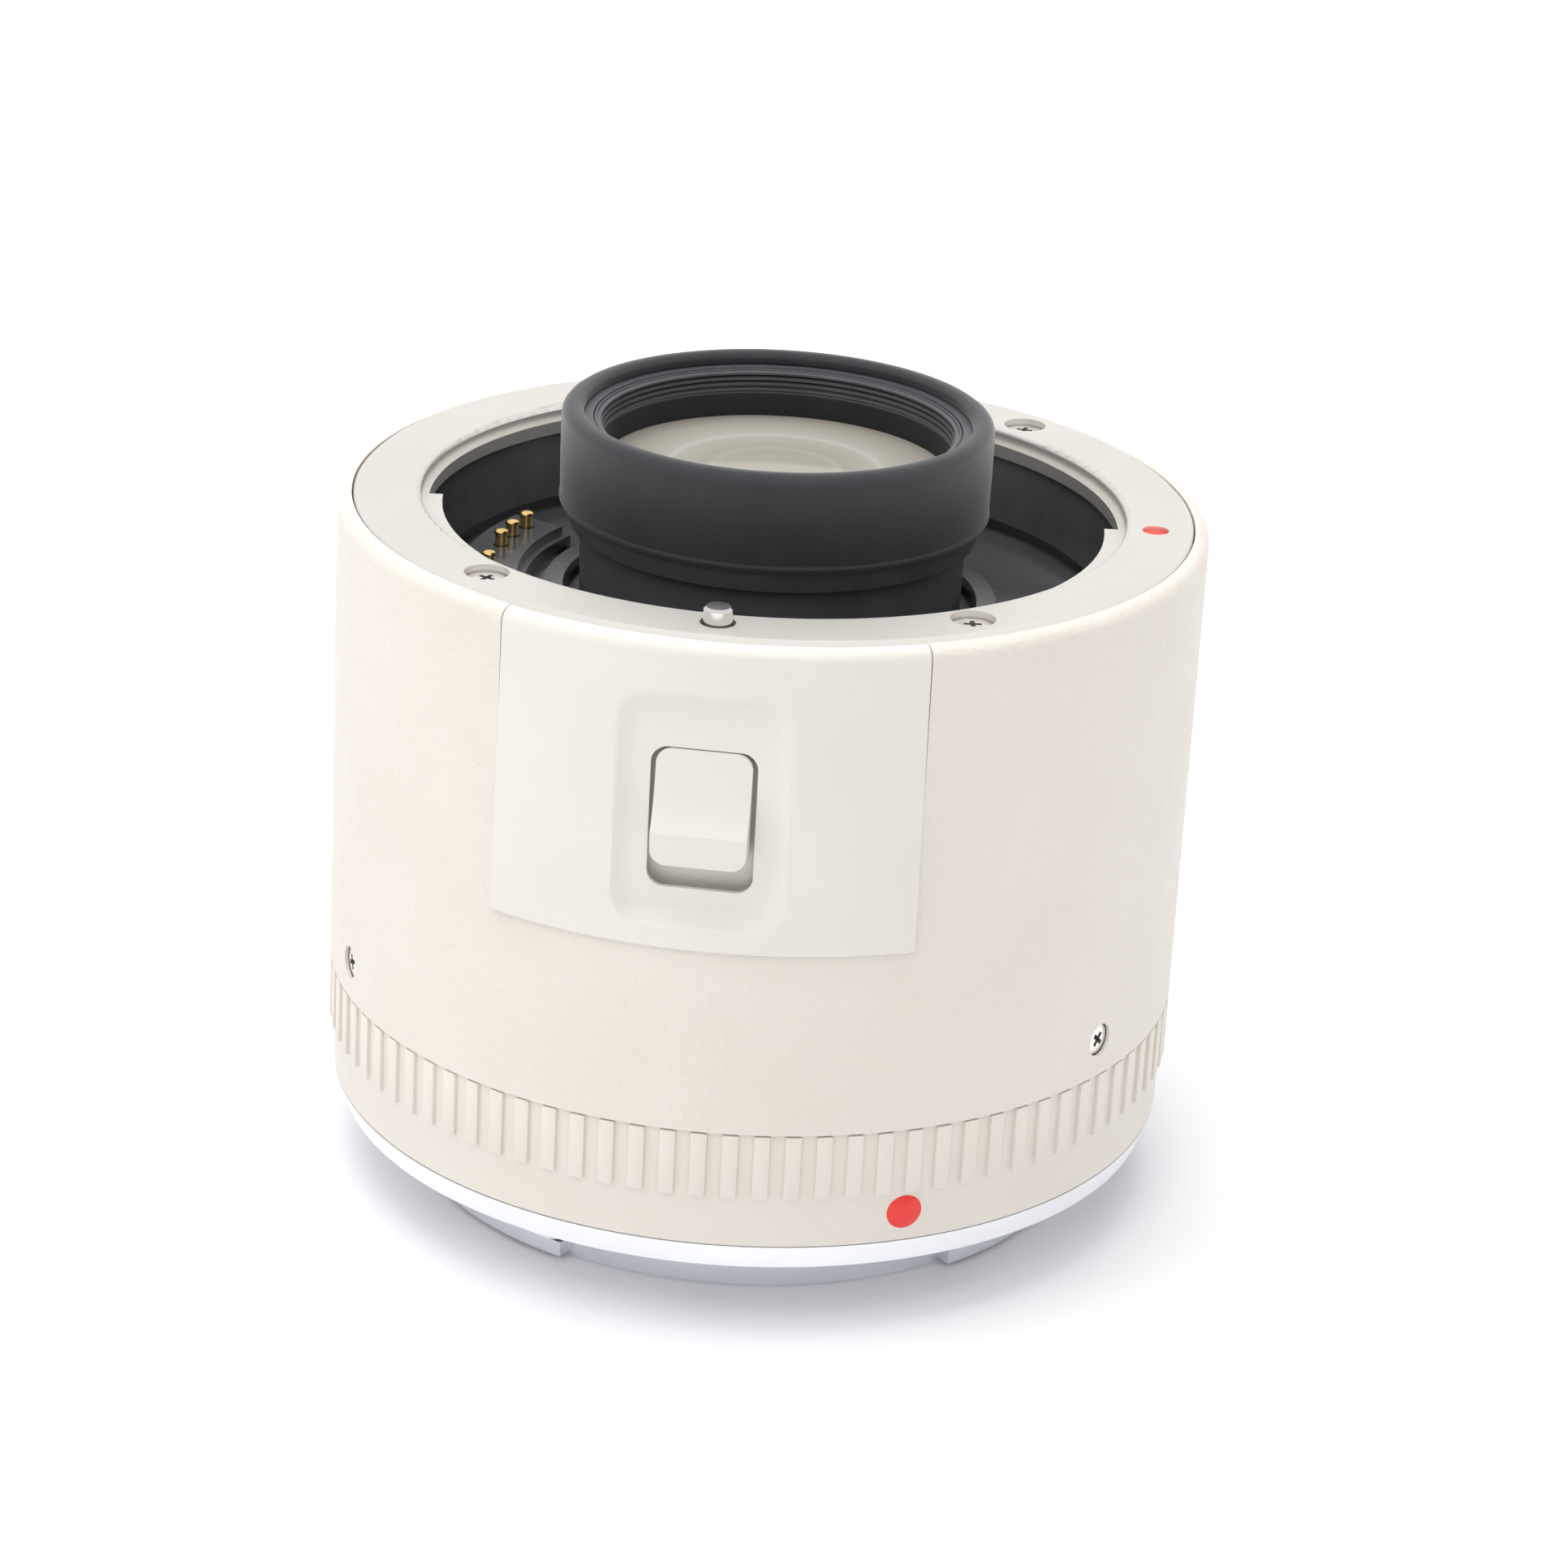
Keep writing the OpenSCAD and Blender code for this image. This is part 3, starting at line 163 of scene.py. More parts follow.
def paint_shade_inside(material, skin_r, skin_top):
    """Paints shade: turns a finish near black inside skin_r, a distance from the axis, and below skin_top,
    a height.
    """
    tree = material.node_tree
    shader = tree.nodes["Principled BSDF"]
    outer = shader.inputs["Base Color"].links[0].from_socket
    place = tree.nodes.new("ShaderNodeTexCoord")
    height = tree.nodes.new("ShaderNodeSeparateXYZ")
    within = tree.nodes.new("ShaderNodeMath")
    within.operation = "LESS_THAN"
    within.inputs[1].default_value = 1
    below = tree.nodes.new("ShaderNodeMath")
    below.operation = "LESS_THAN"
    below.inputs[1].default_value = skin_top
    both = tree.nodes.new("ShaderNodeMath")
    both.operation = "MULTIPLY"
    mix = tree.nodes.new("ShaderNodeMixRGB")
    # The near-black colour of the painted shade.
    mix.inputs["Color2"].default_value = (0.02, 0.02, 0.02, 1)
    tree.links.new(place.outputs["Object"], height.inputs["Vector"])
    tree.links.new(axis_distance(material, skin_r), within.inputs[0])
    tree.links.new(height.outputs["Z"], below.inputs[0])
    tree.links.new(within.outputs["Value"], both.inputs[0])
    tree.links.new(below.outputs["Value"], both.inputs[1])
    tree.links.new(both.outputs["Value"], mix.inputs["Fac"])
    tree.links.new(outer, mix.inputs["Color1"])
    tree.links.new(mix.outputs["Color"], shader.inputs["Base Color"])


barrel_paint = warm_white(
    "barrel_paint", (0.710, 0.664, 0.596), (0.735, 0.690, 0.624), 0.50, 0.60 * MM, 0.110 * MM
)
grip_paint = warm_white(
    "grip_paint", (0.715, 0.668, 0.600), (0.740, 0.694, 0.628), 0.46, 0.30 * MM, 0.012 * MM
)
panel_plastic = warm_white(
    "panel_plastic", (0.722, 0.690, 0.634), (0.742, 0.711, 0.656), 0.34, 0.18 * MM, 0.005 * MM
)
UNDER_SKIN_R, UNDER_SHOULDER = 35.6, 57.3
# Painted shade: the panel's pocket and the barrel's inside turn near black, so the seam reads dark.
paint_shade_inside(barrel_paint, UNDER_SKIN_R * MM, UNDER_SHOULDER * MM)
print("paint and plastic:", barrel_paint.name, grip_paint.name, panel_plastic.name)

# %% [markdown]
# ### Metals
# The mounts are plated brass turned on a lathe, so their skin has very fine rings about the optical
# axis. A ring-shaped Wave texture about Z gives these. The bore is worn a little smoother by the lenses
# that go in and out, so the roughness follows the distance from the axis: a length of the Object
# coordinates without their Z, read through a colour ramp. Screws, pins and springs are plainer steel with
# a cloudy roughness, and the contacts are gold plated.


# %% Metal finishes
def by_radius(material, reach, stops, socket):
    """Drives a colour socket by the distance from the optical axis; a stop is (share of reach, colour)."""
    tree = material.node_tree
    ramp = tree.nodes.new("ShaderNodeValToRGB")
    while len(ramp.color_ramp.elements) < len(stops):
        ramp.color_ramp.elements.new(0.5)
    for element, (share, colour) in zip(ramp.color_ramp.elements, stops):
        element.position = share
        element.color = (*colour, 1)
    tree.links.new(axis_distance(material, reach), ramp.inputs["Fac"])
    tree.links.new(ramp.outputs["Color"], socket)


BORE_R, MOUNT_REACH = 29.1, 36


def turned_metal(name, colour, roughness, bore_roughness, ring_pitch, ring_height):
    """Plated metal with the fine rings that a lathe leaves, and a smoother bore."""
    material, shader = new_finish(name, colour, roughness, 1.0)
    tree = material.node_tree
    place = tree.nodes.new("ShaderNodeTexCoord")
    rings = tree.nodes.new("ShaderNodeTexWave")
    rings.wave_type = "RINGS"
    rings.rings_direction = "Z"
    rings.inputs["Scale"].default_value = 1 / ring_pitch / 20
    rings.inputs["Distortion"].default_value = 0.4
    rings.inputs["Detail"].default_value = 1
    tree.links.new(place.outputs["Object"], rings.inputs["Vector"])
    relief(material, shader, rings.outputs["Fac"], ring_height)
    bore = [(BORE_R - 0.1, bore_roughness), (BORE_R + 0.4, roughness)]
    stops = [(r / MOUNT_REACH, (value, value, value)) for r, value in bore]
    by_radius(material, MOUNT_REACH * MM, stops, shader.inputs["Roughness"])
    tint = [c * 0.96 for c in colour]
    two_tone(material, grain(material, 12 * MM, 2), tint, colour, shader.inputs["Base Color"])
    return material


def plain_metal(name, dark, light, roughness):
    """Bare or plated metal with a slightly cloudy skin."""
    material, shader = new_finish(name, light, roughness, 1.0)
    cloud = grain(material, 0.6 * MM, 4)
    two_tone(material, cloud, dark, light, shader.inputs["Base Color"])
    between(material, cloud, roughness + 0.02, roughness - 0.02, shader.inputs["Roughness"])
    return material


satin_nickel = turned_metal("satin_nickel", (0.90, 0.87, 0.82), 0.54, 0.48, 0.06 * MM, 0.0005 * MM)
bright_chrome = turned_metal("bright_chrome", (0.93, 0.945, 0.98), 0.24, 0.20, 0.08 * MM, 0.0005 * MM)
screw_steel = plain_metal("screw_steel", (0.80, 0.775, 0.735), (0.86, 0.835, 0.795), 0.30)
pin_steel = plain_metal("pin_steel", (0.66, 0.64, 0.61), (0.68, 0.66, 0.63), 0.16)
spring_steel = plain_metal("spring_steel", (0.50, 0.51, 0.53), (0.62, 0.63, 0.65), 0.30)
slide_steel = plain_metal("slide_steel", (0.40, 0.40, 0.41), (0.50, 0.50, 0.51), 0.38)
gold_plate = plain_metal("gold_plate", (0.82, 0.56, 0.20), (0.95, 0.70, 0.31), 0.20)
print("metals:", satin_nickel.name, bright_chrome.name, gold_plate.name)
print("steels:", screw_steel.name, pin_steel.name, spring_steel.name, slide_steel.name)

# %% [markdown]
# ### Dark finishes
# Inside the well everything is dark to swallow stray light: moulded plastic with a satin skin, black
# anodised metal on the lens cell, a near-black colour as painted shade in the gaps between the ridges of
# the baffle and on the plain wall below them, and soft rubber on the hood, whose surface scatters a little
# light at a grazing angle.


# %% Dark finishes
def dark_skin(name, dark, light, roughness, grain_size, grain_height):
    """A dark surface with a fine skin, and its shader."""
    material, shader = new_finish(name, light, roughness)
    skin = grain(material, grain_size, 3)
    two_tone(material, grain(material, 4 * MM, 2), dark, light, shader.inputs["Base Color"])
    between(material, skin, roughness + 0.05, roughness - 0.05, shader.inputs["Roughness"])
    relief(material, shader, skin, grain_height)
    return material, shader


black_plastic, _ = dark_skin(
    "black_plastic", (0.052, 0.054, 0.056), (0.066, 0.069, 0.071), 0.18, 0.15 * MM, 0.002 * MM
)
black_metal, _ = dark_skin(
    "black_metal", (0.060, 0.062, 0.067), (0.072, 0.075, 0.082), 0.40, 0.10 * MM, 0.003 * MM
)
# A near-black finish, painted shade for the baffle's gaps and its plain lower wall.
painted_baffle_shade, _ = dark_skin(
    "painted_baffle_shade", (0.009, 0.009, 0.010), (0.013, 0.013, 0.014), 0.75, 0.10 * MM, 0.004 * MM
)
hood_rubber, rubber_shader = dark_skin(
    "hood_rubber", (0.017, 0.0185, 0.0215), (0.022, 0.024, 0.0275), 0.50, 0.12 * MM, 0.005 * MM
)
rubber_shader.inputs["Sheen Weight"].default_value = 0.28
rubber_shader.inputs["Sheen Roughness"].default_value = 0.4
print("dark finishes:", black_plastic.name, black_metal.name, painted_baffle_shade.name, hood_rubber.name)

# %% [markdown]
# ### Glass, enamel and electronics
# Seen from the side, the front glass looks warm grey, as the lens groups behind it mirror the white
# room, with a pale ring like the rim of a smaller inner lens. Clear glass over a full lens stack would be
# one way to get this. Here the reflection and shade are painted: the glass is a warm grey of its own, with
# a paler ring and a darker edge, which is simple. Its colour depends on the distance from the optical
# axis, as the wear of the bore does.


# %% Glass, enamel and electronics
lens_glass, glass_shader = new_finish("lens_glass", (0.32, 0.30, 0.25), 0.06)
glass_shader.inputs["Specular IOR Level"].default_value = 0.12
painted_reflection_rings = [
    (0.00, (0.33, 0.315, 0.265)),
    (0.30, (0.33, 0.312, 0.262)),
    (0.34, (0.36, 0.342, 0.292)),
    (0.38, (0.33, 0.312, 0.262)),
    (0.54, (0.37, 0.355, 0.31)),
    (0.585, (0.44, 0.43, 0.385)),
    (0.62, (0.385, 0.370, 0.325)),
    (0.95, (0.275, 0.250, 0.212)),
]
# Painted reflection and shade: a paler ring about the axis and a darker edge, set in the glass's colour.
by_radius(lens_glass, 15 * MM, painted_reflection_rings, glass_shader.inputs["Base Color"])

red_enamel, enamel_shader = new_finish("red_enamel", (0.74, 0.030, 0.020), 0.24)
enamel_cloud, enamel_colour = grain(red_enamel, 0.8 * MM, 2), enamel_shader.inputs["Base Color"]
two_tone(red_enamel, enamel_cloud, (0.76, 0.026, 0.018), (0.82, 0.034, 0.023), enamel_colour)

board_green, board_shader = new_finish("board_green", (0.02, 0.10, 0.035), 0.35)
board_cloud, board_colour = grain(board_green, 1.5 * MM, 3), board_shader.inputs["Base Color"]
two_tone(board_green, board_cloud, (0.012, 0.075, 0.026), (0.022, 0.115, 0.042), board_colour)

flex_amber, flex_shader = new_finish("flex_amber", (0.36, 0.17, 0.03), 0.38)
flex_cloud, flex_colour = grain(flex_amber, 1.0 * MM, 3), flex_shader.inputs["Base Color"]
two_tone(flex_amber, flex_cloud, (0.32, 0.15, 0.025), (0.42, 0.21, 0.045), flex_colour)
print("glass and the rest:", lens_glass.name, red_enamel.name, board_green.name, flex_amber.name)

# %% [markdown]
# ## Dressing the CAD nodes
# Pieces whose CAD shape is already the real one only need their finish. The record names a material slot
# for each node, and the table below gives each slot its finish.

# %% Dress the nodes
finish_of_slot = {
    "barrel_paint": barrel_paint,
    "grip_paint": grip_paint,
    "white_plastic": panel_plastic,
    "mount_nickel": satin_nickel,
    "mount_chrome": bright_chrome,
    "screw_steel": screw_steel,
    "spring_steel": spring_steel,
    "slide_steel": slide_steel,
    "black_plastic": black_plastic,
    "black_metal": black_metal,
    "hood_rubber": hood_rubber,
    "lens_glass": lens_glass,
    "gold": gold_plate,
    "red_paint": red_enamel,
    "board_green": board_green,
    "flex_amber": flex_amber,
}
slot_of_node = {}
for part in frame["record"]["subparts"]:
    slot_of_node[part["node"]] = part["material_slot"]
    nodes[part["node"]].material_slots[0].material = finish_of_slot[part["material_slot"]]
print("dressed", len(nodes), "nodes")

# %% [markdown]
# ## Tools for new pieces
# Most of the pieces that need softer edges are turned parts, so the main tool is a lathe. A wire is
# drawn by pulling a single point along the outline, the way one extrudes vertices by hand, and Spin
# turns it about an axis. Outlines are in millimetres, as (distance from the axis, height, rounding).


# %% Lathe and other tools
def deselect():
    """Nothing selected, so that the next operator acts on the new piece alone."""
    bpy.ops.object.select_all(action="DESELECT")


def softened(corners, steps=5):
    """The points of an outline whose corners are rounded as each corner says."""
    points = []
    count = len(corners)
    for i, (x, z, rounding) in enumerate(corners):
        here = Vector((x, z))
        if rounding == 0:
            points.append((x, z))
            continue
        to_last = (Vector(corners[i - 1][:2]) - here).normalized()
        to_next = (Vector(corners[(i + 1) % count][:2]) - here).normalized()
        half = to_last.angle(to_next) / 2
        middle = here + (to_last + to_next).normalized() * rounding / math.sin(half)
        first = here + to_last * rounding / math.tan(half) - middle
        last = here + to_next * rounding / math.tan(half) - middle
        for k in range(steps + 1):
            points.append(tuple(middle + first.lerp(last, k / steps).normalized() * rounding))
    return points


def drawn(name, path, closed=True):
    """A wire through the points of path, in metres. It is left in edit mode with all selected."""
    deselect()
    bpy.ops.mesh.primitive_plane_add(size=MM)
    piece = bpy.context.object
    piece.name = name
    bpy.ops.object.mode_set(mode="EDIT")
    bpy.ops.mesh.select_all(action="SELECT")
    bpy.ops.mesh.merge(type="CENTER")
    bpy.ops.transform.translate(value=path[0])
    here = path[0]
    for there in path[1:] + (path[:1] if closed else []):
        move = [b - a for a, b in zip(here, there)]
        bpy.ops.mesh.extrude_region_move(TRANSFORM_OT_translate={"value": move})
        here = there
    bpy.ops.mesh.select_all(action="SELECT")
    bpy.ops.mesh.remove_doubles(threshold=1e-7)
    return piece


def turned(name, outline, steps, closed=True, smooth=40):
    """A piece turned about the Z axis from an outline in millimetres."""
    piece = drawn(name, [(r * MM, 0, z * MM) for r, z in outline], closed)
    bpy.ops.mesh.spin(steps=steps, angle=2 * math.pi, center=(0, 0, 0), axis=(0, 0, 1))
    bpy.ops.mesh.select_all(action="SELECT")
    bpy.ops.mesh.remove_doubles(threshold=1e-7)
    bpy.ops.mesh.normals_make_consistent(inside=False)
    bpy.ops.object.mode_set(mode="OBJECT")
    bpy.ops.object.shade_smooth_by_angle(angle=math.radians(smooth))
    return piece


def block(name, low, high):
    """A box between two corners in millimetres, its place in its mesh."""
    deselect()
    middle = [(a + b) / 2 * MM for a, b in zip(low, high)]
    size = [(b - a) * MM for a, b in zip(low, high)]
    bpy.ops.mesh.primitive_cube_add(size=1, location=middle, scale=size)
    piece = bpy.context.object
    piece.name = name
    bpy.ops.object.transform_apply(location=True, rotation=True, scale=True)
    return piece


def round_edges(piece, along, radius, segments):
    """Bevels the edges of a box that run along one axis, 0 to 2, or all of them if along is None."""
    mesh = piece.data
    bpy.ops.object.mode_set(mode="EDIT")
    bpy.ops.mesh.select_all(action="DESELECT")
    bpy.ops.object.mode_set(mode="OBJECT")
    for edge in mesh.edges:
        run = mesh.vertices[edge.vertices[0]].co - mesh.vertices[edge.vertices[1]].co
        edge.select = along is None or abs(run[along]) > 0.9 * run.length
    bpy.ops.object.mode_set(mode="EDIT")
    bpy.ops.mesh.select_mode(type="EDGE")
    bpy.ops.mesh.bevel(offset=radius * MM, segments=segments, affect="EDGES")
    bpy.ops.mesh.select_mode(type="VERT")
    bpy.ops.object.mode_set(mode="OBJECT")


def carve(piece, tool, how):
    """Cuts a piece with another one by a Boolean modifier, and removes the tool."""
    cut = piece.modifiers.new("cut", "BOOLEAN")
    cut.operation = how
    cut.solver = "EXACT"
    cut.object = tool
    deselect()
    bpy.context.view_layer.objects.active = piece
    piece.select_set(True)
    bpy.ops.object.modifier_apply(modifier=cut.name)
    bpy.data.objects.remove(tool, do_unlink=True)


def joined(pieces):
    """One object from several, each with its place in its mesh."""
    deselect()
    for piece in pieces:
        piece.select_set(True)
    bpy.context.view_layer.objects.active = pieces[0]
    bpy.ops.object.join()
    return pieces[0]


def placed_copy(piece, name, matrix):
    """A copy with its own mesh, moved by a matrix that then goes into the mesh."""
    copy = piece.copy()
    copy.data = piece.data.copy()
    copy.name = name
    bpy.context.collection.objects.link(copy)
    deselect()
    copy.select_set(True)
    bpy.context.view_layer.objects.active = copy
    copy.matrix_world = matrix
    bpy.ops.object.transform_apply(location=True, rotation=True, scale=True)
    return copy


def take_place(piece, body, *stands_for):
    """Gives a piece its finish if it has none and its body, and hides the CAD nodes that it stands for."""
    slot = slot_of_node[stands_for[0]]
    if not piece.data.materials:
        piece.data.materials.append(finish_of_slot[slot])
    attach(piece, body)
    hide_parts(*stands_for)
    print(piece.name, len(piece.data.polygons), "faces for", *stands_for)


def facing(angle, r, z, tilt=0, spin=0):
    """The place at a direction from -Y, a distance from the axis and a height, its Z tilted outwards."""
    return (
        Matrix.Rotation(math.radians(angle), 4, "Z")
        @ Matrix.Translation((0, -r * MM, z * MM))
        @ Matrix.Rotation(math.radians(tilt), 4, "X")
        @ Matrix.Rotation(math.radians(spin), 4, "Z")
    )


# %% [markdown]
# ## Rubber hood, baffle ring and lens cell
# The hood is moulded rubber pushed over the front cell. Its rim is a fat round lip that rolls over the
# cell, so the outline has generous roundings. Inside sits a black ring with fine ridges that break up
# stray light, then a plain wall that narrows down to the glass. The cell under the hood is turned with a
# step, and draws in a little towards its foot.

# %% Rubber hood, baffle ring and lens cell
hood_outline = softened(
    [
        (16.60, 58.45, 0),
        (17.75, 58.45, 0.12),
        (17.75, 58.75, 0.12),
        (17.69, 59.00, 0.20),
        (17.75, 62.50, 1.00),
        (17.75, 66.45, 0.95),
        (15.95, 66.45, 0.60),
        (15.95, 65.40, 0.12),
        (16.60, 65.40, 0),
    ],
    6,
)
take_place(turned("soft_hood", hood_outline, 160), "body", "rubber_hood")

ridge_outline = [(15.10, 61.40), (15.10, 65.25), (15.00, 65.32), (14.86, 65.32)]
for k in range(4):
    top, inwards = 65.15 - 0.44 * k, 0.08 * k
    ridge_outline += [
        (14.80 - inwards, top),
        (14.52 - inwards, top - 0.08),
        (14.50 - inwards, top - 0.24),
        (14.70 - inwards, top - 0.32),
    ]
ridge_outline += [(14.36, 63.35), (14.28, 63.20), (14.25, 61.40)]
GAP_INNER, GAP_OUTER, WALL_TOP = 14.56, 14.75, 63.30
baffle = turned("ridged_baffle", ridge_outline, 160, smooth=25)
baffle.data.materials.append(black_metal)
baffle.data.materials.append(painted_baffle_shade)
# Painted shade: faces in the gaps between ridges and on the plain wall below them take the near-black
# finish.
for face in baffle.data.polygons:
    gap = GAP_INNER * MM < face.center.xy.length < GAP_OUTER * MM and abs(face.normal.z) < 0.5
    face.material_index = int(gap or face.center.z < WALL_TOP * MM)
take_place(baffle, "body", "front_baffle_ring")

cell_outline = softened(
    [
        (15.15, 46.00, 0),
        (16.80, 46.00, 0),
        (16.80, 49.60, 0),
        (15.80, 49.90, 0.20),
        (15.95, 56.20, 0.15),
        (16.80, 56.50, 0.15),
        (17.35, 58.38, 0.10),
        (16.55, 58.40, 0),
        (16.55, 65.35, 0),
        (15.15, 65.35, 0),
    ]
)
take_place(turned("tapered_cell", cell_outline, 160, smooth=30), "body", "front_cell")

# %% [markdown]
# The front glass is ground from the same kind of outline: a very flat dome for the polished face, a narrow
# flat seat for the baffle ring and a straight edge.

# %% Front glass
GLASS_R, GLASS_EDGE, GLASS_RISE = 14.35, 61.40, 0.06
glass_outline = [(0, 56.0), (15.05, 56.0), (15.05, 61.36), (GLASS_R, 61.38)]
for k in range(1, 15):
    share = math.sin(math.radians(90 - 6 * k))
    glass_outline.append((GLASS_R * share, GLASS_EDGE + GLASS_RISE * (1 - share**2)))
glass_outline.append((0, GLASS_EDGE + GLASS_RISE))
take_place(turned("front_glass", glass_outline, 128, closed=False, smooth=30), "body", "front_doublet")

# %% [markdown]
# ## Ribbed grip ring
# The ring is one turned piece: a smooth band at its foot, and above it a shallow step up to the floor
# of the grooves. The ninety ribs stand on that floor. One rib is a box with its edges bevelled, and Spin
# copies it round in steps of four degrees. The grooves run out over the band, so each rib ends in a
# small soft step of its own.

# %% Ribbed grip ring
ring_outline = softened(
    [
        (28.20, 8.00, 0),
        (35.45, 8.00, 0.20),
        (35.47, 12.40, 0),
        (35.60, 12.70, 0),
        (35.60, 17.95, 0),
        (33.55, 17.95, 0),
        (33.55, 23.60, 0),
        (30.55, 23.60, 0),
        (30.55, 11.50, 0),
        (28.20, 11.50, 0),
    ]
)
grip_base = turned("ribbed_grip", ring_outline, 180, smooth=30)

rib_count, rib_width, rib_at = 90, 1.31, 1.7
rib = block("rib", (-rib_width / 2, -35.90, 12.40), (rib_width / 2, -35.20, 17.95))
round_edges(rib, None, 0.13, 2)
rib.rotation_euler.z = math.radians(rib_at)
bpy.ops.object.transform_apply(rotation=True)
bpy.ops.object.mode_set(mode="EDIT")
bpy.ops.mesh.select_all(action="SELECT")
bpy.ops.mesh.spin(
    steps=rib_count - 1,
    dupli=True,
    angle=2 * math.pi * (rib_count - 1) / rib_count,
    center=(0, 0, 0),
    axis=(0, 0, 1),
)
bpy.ops.object.mode_set(mode="OBJECT")
bpy.ops.object.shade_smooth_by_angle(angle=math.radians(40))
take_place(joined([grip_base, rib]), "body", "rear_grip_ring")

# %% [markdown]
# ## Switch panel
# The panel is a thin moulded shell bent round the barrel. Its lower edge stands out a little, its upper
# edge rolls over with the barrel's shoulder, and the dish that leads a finger to the knob has no sharp
# edge at all. A box with cuts can't give that dish, so a fine grid is laid on the barrel, and each of its
# points sinks towards the dish's flat floor by how far inside the dish's outline it lies. Solidify then
# gives the shell its wall, and a Boolean with a rounded box opens the window.

# %% Panel: rows from the lower edge up, and columns across
BARREL_R, PANEL_LOW, SHOULDER, SHOULDER_ROUND = 35.90, 33.70, 57.60, 1.10
PANEL_PROUD, PANEL_BACK, PANEL_HALF, EDGE = 0.50, 34.76, 27.55, 0.22


def panel_surface(z):
    """Radius of the panel's face at a height below the shoulder."""
    return BARREL_R + PANEL_PROUD * (SHOULDER - z) / (SHOULDER - PANEL_LOW)


edge_r = panel_surface(PANEL_LOW + EDGE) - EDGE
panel_rows = [(PANEL_BACK, PANEL_LOW), (35.5, PANEL_LOW)]
for k in range(7):
    turn = math.radians(15 * k)
    panel_rows.append((edge_r + EDGE * math.sin(turn), PANEL_LOW + EDGE - EDGE * math.cos(turn)))
for k in range(1, 97):
    z = PANEL_LOW + EDGE + (SHOULDER - PANEL_LOW - EDGE) * k / 96
    panel_rows.append((panel_surface(z), z))
for k in range(1, 13):
    turn = math.radians(7.5 * k)
    inwards = SHOULDER_ROUND * (1 - math.cos(turn))
    panel_rows.append((BARREL_R - inwards, SHOULDER + SHOULDER_ROUND * math.sin(turn)))

near_edge = [(0, 9.0), (0, 0.16), (0.03, 0.05), (0.09, 0.01), (0.20, 0)]
panel_columns = [(-PANEL_HALF + math.degrees(step / BARREL_R), sink) for step, sink in near_edge]
panel_columns += [(-PANEL_HALF + 0.5 + (2 * PANEL_HALF - 1) * k / 130, 0) for k in range(131)]
panel_columns += [(-angle, sink) for angle, sink in reversed(panel_columns[:5])]
print(len(panel_columns), "columns and", len(panel_rows), "rows")

# %% Panel: dish and window
DISH_HALF_W, DISH_HALF_H, DISH_MID, DISH_FLOOR = 6.8, 9.5, 45.0, -34.95
DISH_ROUND, DISH_FADE = 2.6, 1.6


def into_dish(x, z):
    """0 outside the dish's outline, a crisp rim, and a soft run-out to 1 on its floor."""
    over_x = abs(x) - DISH_HALF_W + DISH_ROUND
    over_z = abs(z - DISH_MID) - DISH_HALF_H + DISH_ROUND
    outside = math.hypot(max(over_x, 0), max(over_z, 0)) + min(max(over_x, over_z), 0) - DISH_ROUND
    share = min(max(-outside / DISH_FADE, 0), 1)
    return share * (2 - share)


deselect()
last_column, last_row = len(panel_columns) - 1, len(panel_rows) - 1
bpy.ops.mesh.primitive_grid_add(x_subdivisions=last_column, y_subdivisions=last_row, size=1)
panel = bpy.context.object
panel.name = "moulded_panel"
for vertex in panel.data.vertices:
    angle, sink = panel_columns[round((vertex.co.x + 0.5) * last_column)]
    r, z = panel_rows[round((vertex.co.y + 0.5) * last_row)]
    r = max(r - sink, min(r, PANEL_BACK))
    x, y = r * math.sin(math.radians(angle)), -r * math.cos(math.radians(angle))
    if DISH_FLOOR > y:
        y += (DISH_FLOOR - y) * into_dish(x, z)
    vertex.co = (x * MM, y * MM, z * MM)
wall = panel.modifiers.new("wall", "SOLIDIFY")
wall.thickness = 0.42 * MM
wall.offset = -1
bpy.ops.object.modifier_apply(modifier=wall.name)
window = block("window", (-4.15, -38, 38.35), (4.15, -33, 49.95))
round_edges(window, 1, 1.35, 10)
carve(panel, window, "DIFFERENCE")
bpy.ops.object.shade_smooth_by_angle(angle=math.radians(40))
take_place(panel, "body", "switch_panel")

# %% [markdown]
# ## Release knob
# The knob is a small slide with a hollow ramp for a fingertip and a crest to push against. Its side
# view is drawn as a wire, filled and pulled out to its width. A rounded box trims it to the knob's
# outline, and a Bevel modifier takes the edge off all round. A plate behind the window moves with it
# and keeps dust out.

# %% Release knob
KNOB_LOW, KNOB_TOP, CREST, HOLLOW_R, HOLLOW_DEPTH = 40.65, 49.85, 36.75, 9.0, 1.8
hollow_z, hollow_u = KNOB_TOP - 1.0, CREST + HOLLOW_R - HOLLOW_DEPTH
crest_end = hollow_z - math.sqrt(HOLLOW_R**2 - (HOLLOW_R - HOLLOW_DEPTH) ** 2)
knob_side = [(33.3, 40.0), (36.15, 40.0), (CREST, 43.05), (CREST, crest_end)]
for k in range(1, 25):
    z = crest_end + (KNOB_TOP + 0.6 - crest_end) * k / 24
    knob_side.append((hollow_u - math.sqrt(HOLLOW_R**2 - (z - hollow_z) ** 2), z))
knob_side.append((33.3, KNOB_TOP + 0.6))
knob = drawn("finger_knob", [(-5 * MM, -u * MM, z * MM) for u, z in knob_side])
bpy.ops.mesh.edge_face_add()
bpy.ops.mesh.extrude_region_move(TRANSFORM_OT_translate={"value": (10 * MM, 0, 0)})
bpy.ops.mesh.select_all(action="SELECT")
bpy.ops.mesh.normals_make_consistent(inside=False)
bpy.ops.object.mode_set(mode="OBJECT")
outline = block("outline", (-3.75, -38, KNOB_LOW), (3.75, -33.4, KNOB_TOP))
round_edges(outline, 1, 1.3, 10)
